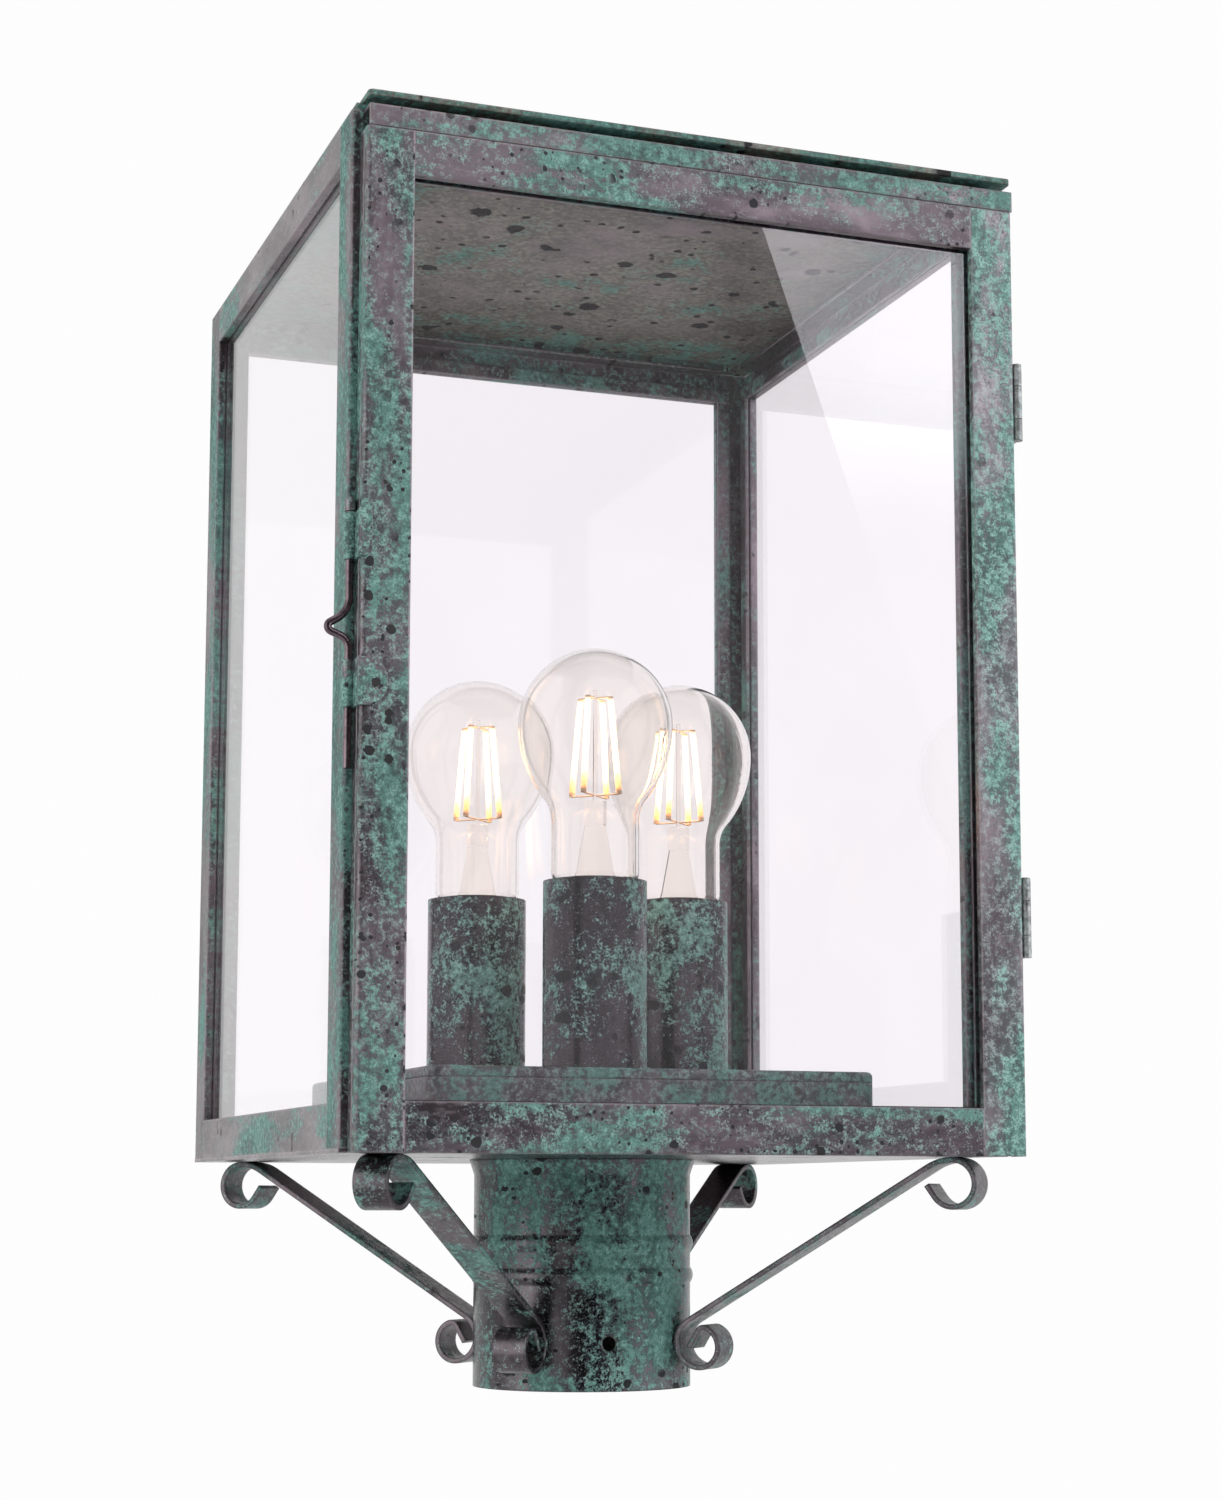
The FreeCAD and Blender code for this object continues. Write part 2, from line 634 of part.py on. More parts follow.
def hinge_pins():
    """Headed pins that hang in the fixed knuckles."""
    pins = []
    for level in HINGE_LEVELS:
        base = V(size("hinge_x"), size("hinge_y"), size(f"body_low + {level} - hinge_length / 2"))
        shank = Part.makeCylinder(size("hinge_pin"), size("hinge_length"), base)
        top = base + V(0, 0, size("hinge_length"))
        head = Part.makeCylinder(size("hinge_head"), size("hinge_head_height"), top)
        pins.append(shank.fuse(head).removeSplitter())
    solid_node("hinge_pins", pins)


# ---- latch ----

GUIDES = ("low", "high")


def latch_guides():
    """Two barrels on the door's edge, each with a leaf that wraps on to the door's front and ends round."""
    solids = []
    radius, leaf = size("guide_radius"), size("guide_leaf")
    height = size("guide_length")
    x, y = size("latch_x"), size("latch_y")
    edge, front = size("door_left"), size("door_front") - leaf
    for guide in GUIDES:
        low = size(f"body_low + guide_{guide} - guide_length / 2")
        tongue = size(f"tongue_{guide}")
        barrel = Part.makeCylinder(radius, height, V(x, y, low))
        bore = Part.makeCylinder(size("rod_radius + rod_play"), height, V(x, y, low))
        side = Part.makeBox(leaf, y - front, height, V(edge - leaf, front, low))
        face = Part.makeBox(tongue + leaf, leaf, height, V(edge - leaf, front, low))
        ends = [e for e in face.Edges if abs(e.CenterOfMass.x - edge - tongue) < NEAR]
        corners = [e for e in ends if e.BoundBox.YLength > NEAR]
        face = face.makeFillet(size(f"tongue_round_{guide}"), corners)
        solids.append(barrel.fuse([side, face]).cut(bore).removeSplitter())
    solid_node("latch_guides", solids)


def latch_rod():
    """Bent rod: straight shank with a thumb bend standing out to the side."""
    radius = size("rod_radius")
    x, y = size("latch_x"), size("latch_y")
    base = size("body_low")
    tip = base + size("grip_level")
    corners = [
        V(x, y, base + size("rod_low")),
        V(x, y, tip - size("grip_fall")),
        V(x - size("grip_reach"), y, tip),
        V(x, y, tip + size("grip_rise")),
        V(x, y, base + size("rod_high") - radius),
    ]
    path = rounded_path(corners, [size(f"grip_bend_{bend}") for bend in ("low", "tip", "high")])
    start = Part.Wire([Part.Circle(corners[0], UP, radius).toShape()])
    shank = path.makePipeShell([start], True, False)
    nose = Part.makeSphere(radius, corners[-1])
    rod = shank.fuse(nose).removeSplitter()
    solid_node("latch_rod", [rod])


def rounded_path(corners, radii):
    """Straight runs joined by tangent arcs, one radius for each inner corner."""
    edges = []
    last = corners[0]
    for before, corner, after, radius in zip(corners, corners[1:], corners[2:], radii):
        back = (before - corner).normalize()
        on = (after - corner).normalize()
        half = back.getAngle(on) / 2
        reach = radius / math.tan(half)
        start, end = corner + back * reach, corner + on * reach
        middle = corner + (back + on).normalize() * (radius / math.sin(half) - radius)
        edges.append(Part.LineSegment(last, start).toShape())
        edges.append(Part.Arc(start, middle, end).toShape())
        last = end
    edges.append(Part.LineSegment(last, corners[-1]).toShape())
    return Part.Wire(edges)


def latch_keeper():
    """A capped socket on the body's front that the rod's tip stands in."""
    x, y = size("latch_x"), size("latch_y")
    radius, height = size("keeper_radius"), size("keeper_height")
    low = size("body_low + guide_high + guide_length / 2 + keeper_gap")
    shell = Part.makeCylinder(radius, height - radius, V(x, y, low))
    dome = Part.makeSphere(radius, V(x, y, low + height - radius))
    foot = Part.makeBox(radius, -size("half_depth") - y, height - radius, V(x - radius / 2, y, low))
    bore = Part.makeCylinder(size("keeper_bore"), size("keeper_depth"), V(x, y, low))
    keeper = shell.fuse([dome, foot]).cut(bore).removeSplitter()
    solid_node("latch_keeper", [keeper])


# ---- wiring box and lamps ----

def box_outline(shrink):
    half = f"(box_size / 2 - {shrink})"
    return [(f"-{half}", f"-{half}"), (half, f"-{half}"), (half, half), (f"-{half}", half)]


def hollow_square(name, low, height, roof):
    """A rounded square shell, open below, with a top of the given thickness or none."""
    body = padded(name, "XY_Plane", box_outline("0"), height, low=("0", "0", low))
    rounded(body, "box_corner", upright)
    inner = padded(name + "_inside", "XY_Plane", box_outline("box_wall"), f"{height} - {roof}",
                   low=("0", "0", low))
    rounded(inner, "box_corner - box_wall", upright)
    return body, inner


def wiring_box():
    height = "(box_height - box_lid_height)"
    body, inner = hollow_square("wiring_box_wall", "floor_top", height, "0")
    node(cut("wiring_box", body, inner), "wiring_box")


def lamp_places():
    """Lamp axes in plan, the front one first, as expressions."""
    names = ("front", "right", "left")
    for index, name in enumerate(names):
        angle = size("lamp_bearing") + FULL_TURN / len(names) * index
        yield name, f"lamp_circle * cos({angle:.4f} deg)", f"lamp_circle * sin({angle:.4f} deg)"


def wiring_box_lid():
    body, inner = hollow_square("lid_wall", "lid_low", "box_lid_height", "box_wall")
    top = size("box_lid_height")
    rounded(body, "box_edge", lambda edge: abs(edge.BoundBox.ZMin - top) < NEAR)
    tools = [inner]
    for name, x, y in lamp_places():
        tools.append(cylinder(f"lid_hole_{name}", "nipple_radius + rod_play", "3 * box_lid_height",
                              (x, y, "lid_low")))
    node(cut("wiring_box_lid", body, fuse("lid_cuts", *tools)), "wiring_box_lid")


def lamp_sleeve(name, x, y):
    points = [
        ("cup_radius - cup_wall", "0"),
        ("cup_radius", "0"),
        ("cup_radius", "cup_height"),
        ("cup_radius - cup_wall", "cup_height"),
    ]
    label = f"lamp_sleeve_{name}"
    node(revolved(label, points, x, y, "lid_top"), label)


def lampholder(name, x, y):
    """Ceramic cup with a floor, seated on the threaded nipple."""
    points = [
        ("nipple_bore", "0"),
        ("holder_radius - holder_chamfer", "0"),
        ("holder_radius", "holder_chamfer"),
        ("holder_radius", "holder_height"),
        ("holder_bore", "holder_height"),
        ("holder_bore", "holder_floor"),
        ("nipple_bore", "holder_floor"),
    ]
    label = f"lampholder_{name}"
    node(revolved(label, points, x, y, "holder_low"), label)


def per_lamp(name, maker):
    """One piece made of the same solids at each of the three lamps."""
    solids = []
    for lamp, x, y in lamp_places():
        for solid in maker(lamp):
            solid.translate(V(size(x), size(y), 0))
            solids.append(solid)
    solid_node(name, solids)


def holder_contacts(_):
    """Screw shell and centre contact of one lampholder."""
    low = size("holder_low + holder_floor")
    outer = size("holder_bore - contact_play")
    height, wall = size("contact_height"), size("contact_wall")
    foot = low + wall
    shell = Part.makeCylinder(outer, height, V(0, 0, low))
    shell = shell.cut(Part.makeCylinder(outer - wall, height, V(0, 0, foot)))
    top = size("cap_high - cap_height")
    button = Part.makeCylinder(size("contact_disc"), top - foot, V(0, 0, foot))
    return [shell.fuse(button).removeSplitter()]


def nipple(_):
    low = size("lid_top - nipple_tail")
    height = size("holder_low") - low
    tube = Part.makeCylinder(size("nipple_radius"), height, V(0, 0, low))
    return [tube.cut(Part.makeCylinder(size("nipple_bore"), height, V(0, 0, low)))]


def nipple_nuts(_):
    """A nut above and a nut below the lid."""
    nuts = []
    radius = size("nut_width") / math.sqrt(3)
    height = size("nut_height")
    for low in (size("lid_top"), size("lid_top - box_wall") - height):
        turns = [corner * math.pi / 3 for corner in range(7)]
        corners = [V(radius * math.cos(turn), radius * math.sin(turn), low) for turn in turns]
        blank = Part.Face(Part.makePolygon(corners)).extrude(V(0, 0, height))
        nuts.append(blank.cut(Part.makeCylinder(size("nipple_radius"), height, V(0, 0, low))))
    return nuts


def bulb_base(_):
    """Lamp cap: an upright shell on a tapered foot."""
    radius, high = size("cap_radius"), size("cap_high")
    low = high - size("cap_height")
    shoulder = size("cap_shoulder")
    foot = Part.makeCone(2 * size("contact_disc"), radius, shoulder, V(0, 0, low))
    shell = Part.makeCylinder(radius, high - low - shoulder, V(0, 0, low + shoulder))
    return [foot.fuse(shell).removeSplitter()]


# The globe's lower bowl is struck with a longer radius than its crown.
BOWL_SHARE = 1.5


def bulb_outline(offset):
    """Half section of the globe: crown, fuller lower bowl, flared waist, neck and rounded foot."""
    globe = size("bulb_radius")
    neck = size("bulb_neck")
    cap = size("cap_high")
    high = cap + size("bulb_height")
    centre = high - globe
    bowl = BOWL_SHARE * globe
    waist_level = cap + size("bulb_waist")
    reach = centre - waist_level
    shift = bowl - globe
    # the waist arc meets the bowl and ends upright at the neck
    span = neck + shift
    waist = (span * span + reach * reach - bowl * bowl) / (2 * (bowl - span))
    waist_x = neck + waist
    lean = math.asin(reach / (bowl + waist))
    foot = neck - size("cap_radius")
    d = offset

    def on(cx, cz, r, angle):
        return V(cx + r * math.cos(angle), 0, cz + r * math.sin(angle))
    crown = Part.Arc(V(0, 0, high - d), on(0, centre, globe - d, math.pi / 4), V(globe - d, 0, centre))
    bowl_arc = Part.Arc(on(-shift, centre, bowl - d, 0), on(-shift, centre, bowl - d, -lean / 2),
                        on(-shift, centre, bowl - d, -lean))
    waist_arc = Part.Arc(on(waist_x, waist_level, waist + d, math.pi - lean),
                         on(waist_x, waist_level, waist + d, math.pi - lean / 2),
                         on(waist_x, waist_level, waist + d, math.pi))
    neck_low = cap + foot
    neck_line = Part.LineSegment(V(neck - d, 0, waist_level), V(neck - d, 0, neck_low))
    foot_arc = Part.Arc(V(neck - d, 0, neck_low), on(neck - foot, neck_low, foot - d, -math.pi / 4),
                        V(neck - foot, 0, cap + d))
    edges = [crown, bowl_arc, waist_arc, neck_line, foot_arc]
    return [edge.toShape() for edge in edges], V(neck - foot, 0, cap + d)


def bulb_glass(name, x, y):
    outer, outer_end = bulb_outline(0.0)
    inner, inner_end = bulb_outline(size("bulb_wall"))
    high = outer[0].Vertexes[0].Point
    top = inner[0].Vertexes[0].Point
    edges = outer + inner
    edges.append(Part.LineSegment(outer_end, inner_end).toShape())
    edges.append(Part.LineSegment(high, top).toShape())
    wire = Part.Wire(Part.__sortEdges__(edges))
    glass = Part.Face(wire).revolve(V(0, 0, 0), UP, FULL_TURN)
    solid_node(f"bulb_glass_{name}", [glass], V(size(x), size(y), 0))


STEM_FLARE = 0.7    # flared share of the glass stem's height


def bulb_stem(_):
    """Glass stem with its flare, its pinch and its centre rod."""
    cap = size("cap_high")
    radius, height = size("stem_radius"), size("stem_height")
    rod = size("stem_rod")
    waist = height * STEM_FLARE
    flare = Part.makeCone(2 * radius, radius, waist, V(0, 0, cap))
    pinch = Part.makeBox(2 * radius, radius, height - waist, V(-radius, -radius / 2, cap + waist))
    top = size("filament_low + filament_rise + stem_tip")
    centre = Part.makeCylinder(rod, top - height, V(0, 0, cap + height))
    stem = flare.fuse([pinch, centre])
    return [stem.removeSplitter()]


def bulb_filaments(_):
    """Leaning filament rods with the wire stars that join them to the stem at both ends."""
    cap = size("cap_high")
    low = cap + size("filament_low")
    rise = size("filament_rise")
    count = int(round(size("filament_count")))
    wire, rod = size("filament_wire"), size("stem_rod")
    solids = []
    for index in range(count):
        angle = 2 * math.pi * (index + 0.5) / count
        out = V(math.cos(angle), math.sin(angle), 0)
        start = out * size("filament_spread") + UP * low
        end = out * size("filament_pinch") + UP * (low + rise)
        strip = Part.makeCylinder(size("filament_radius"), (end - start).Length, start, end - start)
        lower = Part.makeCylinder(wire, size("filament_spread") - rod, out * rod + UP * low, out)
        upper = Part.makeCylinder(wire, size("filament_pinch") - rod, out * rod + UP * (low + rise), out)
        solids.append(strip.fuse([lower, upper]).removeSplitter())
    return solids


def terminal_block():
    """Block on the floor plate inside the wiring box, with its screw wells."""
    length, width, height = (size(f"terminal_{part}") for part in ("length", "width", "height"))
    low = V(-length / 2, size("terminal_place") - width / 2, size("floor_top"))
    block = Part.makeBox(length, width, height, low)
    pitch = length / 4
    for index in range(3):
        foot = V(low.x + pitch * (index + 1), size("terminal_place"), low.z + size("terminal_web"))
        block = block.cut(Part.makeCylinder(size("terminal_well"), height, foot))
    solid_node("terminal_block", [block])


def earth_screw():
    """Screw and washer that earth the metalwork, on the floor plate."""
    at = V(size("earth_place"), size("terminal_place"), size("floor_top"))
    washer_wall = size("earth_washer_wall")
    radius, height = size("earth_head"), size("earth_head_height")
    slot_width, slot_depth = size("earth_slot"), size("earth_slot_depth")
    washer = Part.makeCylinder(size("earth_washer"), washer_wall, at)
    head = Part.makeCylinder(radius, height, at + V(0, 0, washer_wall))
    slot_low = at + V(-radius, -slot_width / 2, washer_wall + height - slot_depth)
    slot = Part.makeBox(2 * radius, slot_width, slot_depth, slot_low)
    solid_node("earth_screw", [washer, head.cut(slot)])


def internal_leads():
    """A lead from each nipple down and across to the terminal block."""
    leads = []
    radius = size("lead_radius")
    top = size("lid_top")
    level = size("floor_top") + size("terminal_height") / 2
    ends = {"front": 0.0, "right": 1.0, "left": -1.0}
    near = size("terminal_place - terminal_width / 2")
    gap = size("lead_gap")
    for lamp, x, y in lamp_places():
        at = V(size(x), size(y), top)
        start = at + V(0, 0, size("holder_level - lead_top"))
        if lamp == "front":
            goal = V(0, near - gap, level)
        else:
            goal = V(ends[lamp] * size("terminal_length / 2 + lead_gap"), size("terminal_place"), level)
        knee = V(start.x, start.y, level)
        path = rounded_path([start, knee, goal], [size("lead_bend")])
        ring = Part.Wire([Part.Circle(start, V(0, 0, -1), radius).toShape()])
        leads.append(path.makePipeShell([ring], True, False))
    solid_node("internal_leads", leads)


# ---- post sleeve and scroll brackets ----

def post_sleeve():
    """Tube with two shallow rolled beads and a flared top, drilled for set screws."""
    tube = cylinder("sleeve_tube", "sleeve_radius", "sleeve_height", ("0", "0", "0"))
    parts = [tube]
    for name in ("bead_low", "bead_high"):
        ring = doc.addObject("Part::Torus", name + "_ring")
        ring.setExpression("Radius1", bound("sleeve_radius + bead_rise - bead_curve"))
        ring.setExpression("Radius2", bound("bead_curve"))
        place(ring, "0", "0", name)
        parts.append(ring)
    flare = doc.addObject("Part::Cone", "sleeve_flare")
    flare.setExpression("Radius1", bound("sleeve_radius"))
    flare.setExpression("Radius2", bound("sleeve_radius + flare_width"))
    flare.setExpression("Height", bound("flare_height"))
    place(flare, "0", "0", "sleeve_height - flare_height")
    parts.append(flare)
    tools = [cylinder("sleeve_bore", "sleeve_radius - sleeve_wall", "sleeve_height", ("0", "0", "0"))]
    count = int(round(size("screw_hole_count")))
    for index in range(count):
        drill = cylinder(f"screw_drill_{index}", "screw_hole_radius", "2 * sleeve_radius",
                         ("0", "0", "screw_hole_level"))
        bearing = size("screw_hole_bearing") + FULL_TURN * index / count
        out = V(math.cos(math.radians(bearing)), math.sin(math.radians(bearing)), 0)
        drill.Placement.Rotation = FreeCAD.Rotation(UP, out)
        tools.append(drill)
    node(cut("post_sleeve", fuse("sleeve_outside", *parts), fuse("sleeve_cuts", *tools)), "post_sleeve")


def step_on(point, angle, step, side):
    """Where a walk in the XZ plane stands after one step.

    A step is ("line", length), or (radius, degrees) for a turn to the given side.
    """
    kind, amount = step
    if kind == "line":
        return point + V(math.cos(angle), 0, math.sin(angle)) * amount, angle
    centre = aside(point, angle, side * kind)
    angle += side * math.radians(amount)
    return aside(centre, angle, -side * kind), angle


def aside(point, angle, offset):
    """The point moved to the left of a heading in the XZ plane."""
    return point + V(-math.sin(angle), 0, math.cos(angle)) * offset


LEFT, RIGHT = 1, -1


def ribbon(point, angle, steps, thickness):
    """Outline of a bent flat bar seen edge on, from its end and heading; its bends all turn to the right."""
    half = thickness / 2
    edges = []
    caps = [(aside(point, angle, half), aside(point, angle, -half))]
    for step in steps:
        kind, amount = step
        end, heading = step_on(point, angle, step, RIGHT)
        for offset in (half, -half):
            start_side, end_side = aside(point, angle, offset), aside(end, heading, offset)
            if kind == "line":
                edges.append(Part.LineSegment(start_side, end_side).toShape())
                continue
            middle, lean = step_on(point, angle, (kind, amount / 2), RIGHT)
            edges.append(Part.Arc(start_side, aside(middle, lean, offset), end_side).toShape())
        point, angle = end, heading
    caps.append((aside(point, angle, half), aside(point, angle, -half)))
    edges += [Part.LineSegment(a, b).toShape() for a, b in caps]
    return Part.Wire(Part.__sortEdges__(edges))


# Each scroll winds in by steps: its radius as a share of the scroll's, and degrees.
UPPER_WINDS = ((1.0, 120.0), (0.97, 115.0))
LOWER_WINDS = ((1.0, 150.0), (0.82, 160.0))
TUCK_TURN = 78.0


def bracket_shape():
    """A flat bar bent into a scroll at each end, in the plane of the +X axis."""
    thickness = size("bar_thickness")
    entry, upper, lower = size("upper_entry"), size("upper_scroll"), size("lower_scroll")
    high = V(size("upper_reach"), 0, size("body_low") - entry - thickness / 2)
    low = V(size("sleeve_radius + weld_gap") + lower + thickness / 2, 0, size("lower_level"))
    gap = high - low
    slope = math.atan2(gap.z, gap.x) + math.asin((entry - lower) / gap.Length)
    foot, head = aside(low, slope, lower), aside(high, slope, entry)
    lower_steps = [(lower * share, degrees) for share, degrees in LOWER_WINDS]
    lower_steps += [(size("lower_tuck"), TUCK_TURN), ("line", size("lower_tail"))]
    upper_steps = [(entry, math.degrees(slope))]
    upper_steps += [(upper * share, degrees) for share, degrees in UPPER_WINDS]
    upper_steps += [("line", size("upper_tail"))]
    point, angle = foot, slope + math.pi
    for step in lower_steps:
        point, angle = step_on(point, angle, step, LEFT)
    steps = lower_steps[::-1] + [("line", (head - foot).Length)] + upper_steps
    width = size("bar_width")
    face = Part.Face(ribbon(point, angle + math.pi, steps, thickness))
    face.translate(V(0, -width / 2, 0))
    return face.extrude(V(0, width, 0))


def scroll_brackets():
    bar = bracket_shape()
    for name, angle in (("back_right", 45), ("back_left", 135), ("front_left", 225), ("front_right", 315)):
        solid_node(f"scroll_bracket_{name}", [bar.copy()], angle=angle)


# ---- the whole lantern ----

def build():
    for side_name, side in (("left", -1), ("right", 1)):
        for face_name, face in (("front", -1), ("back", 1)):
            corner_post(f"corner_post_{face_name}_{side_name}", side, face)
        body_rail(f"top_rail_{side_name}", False, side, True)
        body_rail(f"bottom_rail_{side_name}", False, side, False)
    body_rail("top_rail_back", True, 1, True)
    body_rail("bottom_rail_back", True, 1, False)
    body_rail("front_header", True, -1, True)
    body_rail("front_sill", True, -1, False)
    floor_plate()
    roof_plate()
    roof_seat()
    drip_rail()
    window_glass()
    body_strips()
    door_stile("door_stile_left", "door_left", 1)
    door_stile("door_stile_right", "door_right", -1)
    door_rail("door_rail_top", "door_top_rail", True)
    door_rail("door_rail_bottom", "door_bottom_rail", False)
    door_glazing()
    hinge_frame_leaves()
    hinge_door_leaves()
    hinge_pins()
    latch_guides()
    latch_rod()
    latch_keeper()
    wiring_box()
    wiring_box_lid()
    for name, x, y in lamp_places():
        lamp_sleeve(name, x, y)
        lampholder(name, x, y)
        bulb_glass(name, x, y)
    per_lamp("holder_contacts", holder_contacts)
    per_lamp("lamp_nipples", nipple)
    per_lamp("nipple_nuts", nipple_nuts)
    per_lamp("bulb_bases", bulb_base)
    per_lamp("bulb_stems", bulb_stem)
    per_lamp("bulb_filaments", bulb_filaments)
    terminal_block()
    earth_screw()
    internal_leads()
    post_sleeve()
    scroll_brackets()


def check():
    """Stops if any object failed or any piece is empty or invalid."""
    faults = [item.Label for item in doc.Objects if {"Invalid", "Error"} & set(item.State)]
    faults += [item.Label for item in NODES if item.Shape.isNull() or not item.Shape.isValid()]
    faults += [item.Label for item in NODES if not item.Shape.Solids]
    if faults:
        raise SystemExit("failed pieces: " + ", ".join(sorted(set(faults))))


def write():
    os.makedirs("parts", exist_ok=True)
    for item in NODES:
        item.Shape.exportStep(f"parts/{item.Label}.step")


build()
doc.recompute()
check()
write()
print(len(NODES), "pieces,", sum(len(item.Shape.Solids) for item in NODES), "solids")
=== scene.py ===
import math

import bpy
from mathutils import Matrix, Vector

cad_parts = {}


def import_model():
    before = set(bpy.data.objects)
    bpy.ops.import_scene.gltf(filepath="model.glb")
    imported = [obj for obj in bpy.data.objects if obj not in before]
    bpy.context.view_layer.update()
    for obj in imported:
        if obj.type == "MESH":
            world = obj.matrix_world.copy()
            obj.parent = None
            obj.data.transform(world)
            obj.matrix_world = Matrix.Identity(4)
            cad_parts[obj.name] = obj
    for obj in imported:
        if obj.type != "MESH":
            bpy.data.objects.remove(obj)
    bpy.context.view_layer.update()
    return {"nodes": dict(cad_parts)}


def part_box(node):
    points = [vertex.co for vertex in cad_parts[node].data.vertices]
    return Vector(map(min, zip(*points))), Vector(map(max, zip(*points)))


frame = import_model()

nodes = frame["nodes"]
scene = bpy.context.scene


# ---- node helpers ----

SCREEN_LEVELS = 255.0
DARK_KNEE = 0.04045
DARK_SLOPE = 12.92
KNEE_LIFT = 0.055
SCREEN_GAMMA = 2.4
MIX_SOCKETS = (0, 6, 7)     # a colour mix's factor and its two colours
MIX_RESULT = 2


def rgb(red, green, blue):
    """A colour given as it looks on screen, from 0 to 255, turned to linear light."""
    def linear(value):
        value /= SCREEN_LEVELS
        if value <= DARK_KNEE:
            return value / DARK_SLOPE
        return ((value + KNEE_LIFT) / (1.0 + KNEE_LIFT)) ** SCREEN_GAMMA
    return (linear(red), linear(green), linear(blue), 1.0)


class Graph:
    """Short calls for building one material's nodes."""

    def __init__(self, name):
        self.material = bpy.data.materials.new(name)
        self.material.use_nodes = True
        self.tree = self.material.node_tree
        self.tree.nodes.clear()
        self.out = self.add("ShaderNodeOutputMaterial")
        self.object_place = self.add("ShaderNodeTexCoord").outputs["Object"]

    def add(self, kind, **props):
        made = self.tree.nodes.new(kind)
        for key, value in props.items():
            setattr(made, key, value)
        return made

    def link(self, source, target):
        self.tree.links.new(source, target)

    def feed(self, socket, value):
        """Links a socket to another's output, or sets it to a plain value."""
        if isinstance(value, bpy.types.NodeSocket):
            self.link(value, socket)
        else:
            socket.default_value = value

    def placed(self, place, shift=(0, 0, 0), scale=(1, 1, 1)):
        """A place shifted or stretched."""
        made = self.add("ShaderNodeMapping")
        self.link(place, made.inputs["Vector"])
        made.inputs["Location"].default_value = shift
        made.inputs["Scale"].default_value = scale
        return made.outputs["Vector"]

    def axes(self, place):
        """The three lengths of a place, by name."""
        apart = self.add("ShaderNodeSeparateXYZ")
        self.link(place, apart.inputs["Vector"])
        return apart.outputs

    def noise(self, scale, detail=4.0, roughness=0.55, distortion=0.0, place=None):
        made = self.add("ShaderNodeTexNoise")
        self.feed(made.inputs["Vector"], place or self.object_place)
        made.inputs["Scale"].default_value = scale
        made.inputs["Detail"].default_value = detail
        made.inputs["Roughness"].default_value = roughness
        made.inputs["Distortion"].default_value = distortion
        return made.outputs["Fac"]

    def step(self, value, low, high, start=0.0, end=1.0):
        """Maps low..high smoothly on to start..end."""
        made = self.add("ShaderNodeMapRange", interpolation_type="SMOOTHSTEP")
        self.feed(made.inputs["Value"], value)
        made.inputs["From Min"].default_value = low
        made.inputs["From Max"].default_value = high
        made.inputs["To Min"].default_value = start
        made.inputs["To Max"].default_value = end
        return made.outputs["Result"]

    def math(self, operation, first, second=0.0, third=0.0):
        made = self.add("ShaderNodeMath", operation=operation)
        for socket, value in zip(made.inputs, (first, second, third)):
            self.feed(socket, value)
        return made.outputs["Value"]

    def times(self, first, second):
        return self.math("MULTIPLY", first, second)

    def plus(self, value, share, rest):
        """A share of one value on top of another."""
        return self.math("MULTIPLY_ADD", value, share, rest)

    def blend(self, first, share, second, rest):
        """A share of one value and a share of another."""
        return self.plus(first, share, self.times(second, rest))

    def mix(self, factor, first, second):
        made = self.add("ShaderNodeMix", data_type="RGBA", blend_type="MIX")
        for socket, value in zip(MIX_SOCKETS, (factor, first, second)):
            self.feed(made.inputs[socket], value)
        return made.outputs[MIX_RESULT]

    def dot(self, first, second):
        made = self.add("ShaderNodeVectorMath", operation="DOT_PRODUCT")
        self.link(first, made.inputs[0])
        self.link(second, made.inputs[1])
        return made.outputs["Value"]

    def face_normal(self):
        return self.add("ShaderNodeNewGeometry").outputs["Normal"]

    def bump(self, height, strength, distance, normal=None):
        made = self.add("ShaderNodeBump")
        made.inputs["Strength"].default_value = strength
        made.inputs["Distance"].default_value = distance
        self.feed(made.inputs["Height"], height)
        if normal:
            self.link(normal, made.inputs["Normal"])
        return made.outputs["Normal"]

    def principled(self, **values):
        made = self.add("ShaderNodeBsdfPrincipled")
        for key, value in values.items():
            self.feed(made.inputs[key.replace("_", " ")], value)
        return made.outputs["BSDF"]

    def emission(self, colour, strength=1.0):
        made = self.add("ShaderNodeEmission")
        made.inputs["Color"].default_value = colour
        self.feed(made.inputs["Strength"], strength)
        return made.outputs["Emission"]

    def diffuse(self, colour):
        made = self.add("ShaderNodeBsdfDiffuse")
        made.inputs["Color"].default_value = colour
        return made.outputs["BSDF"]

    def choose(self, factor, first, second):
        """One shader or the other."""
        made = self.add("ShaderNodeMixShader")
        self.link(factor, made.inputs["Fac"])
        self.link(first, made.inputs[1])
        self.link(second, made.inputs[2])
        return made.outputs["Shader"]

    def finish(self, shader):
        self.link(shader, self.out.inputs["Surface"])
        return self.material


# ---- weathered metal ----

BARE_DARK = rgb(78, 69, 73)
BARE_BROWN = rgb(118, 106, 111)
BARE_WORN = rgb(158, 148, 152)
GREEN_DEEP = rgb(56, 86, 81)
GREEN_MID = rgb(92, 134, 125)
GREEN_PALE = rgb(146, 188, 178)
FILM_DARK = rgb(68, 84, 83)
FILM_PALE = rgb(138, 152, 150)
OLIVE_DARK = rgb(94, 97, 86)
OLIVE_PALE = rgb(138, 140, 126)
PIT_BLACK = rgb(30, 33, 33)
# Painted shade: the colour the bare metal is darkened towards, for the dark room it mirrors.
PAINTED_SHADE_TONE = rgb(52, 51, 54)
# Painted shade for the faces inside a tube.
PAINTED_INNER_SHADE = rgb(34, 32, 31)
HINGE_DARK = rgb(116, 126, 123)
HINGE_PALE = rgb(170, 176, 174)

# How fine each layer of the crust is, in features per metre.
DRIFT_SCALE = 34.0
BLOT_SCALE = 95.0
SPECK_SCALE = 430.0
FINE_SCALE = 1250.0
WARP_SCALE = 260.0
GATHER_SCALE = 30.0
GATHER_SMALL_SCALE = 52.0
PIT_SCALE = 125.0
PIT_SMALL_SCALE = 310.0
PIT_REACH = 0.24
BROWN_SCALE = 40.0
BRUSH_SCALE = 380.0

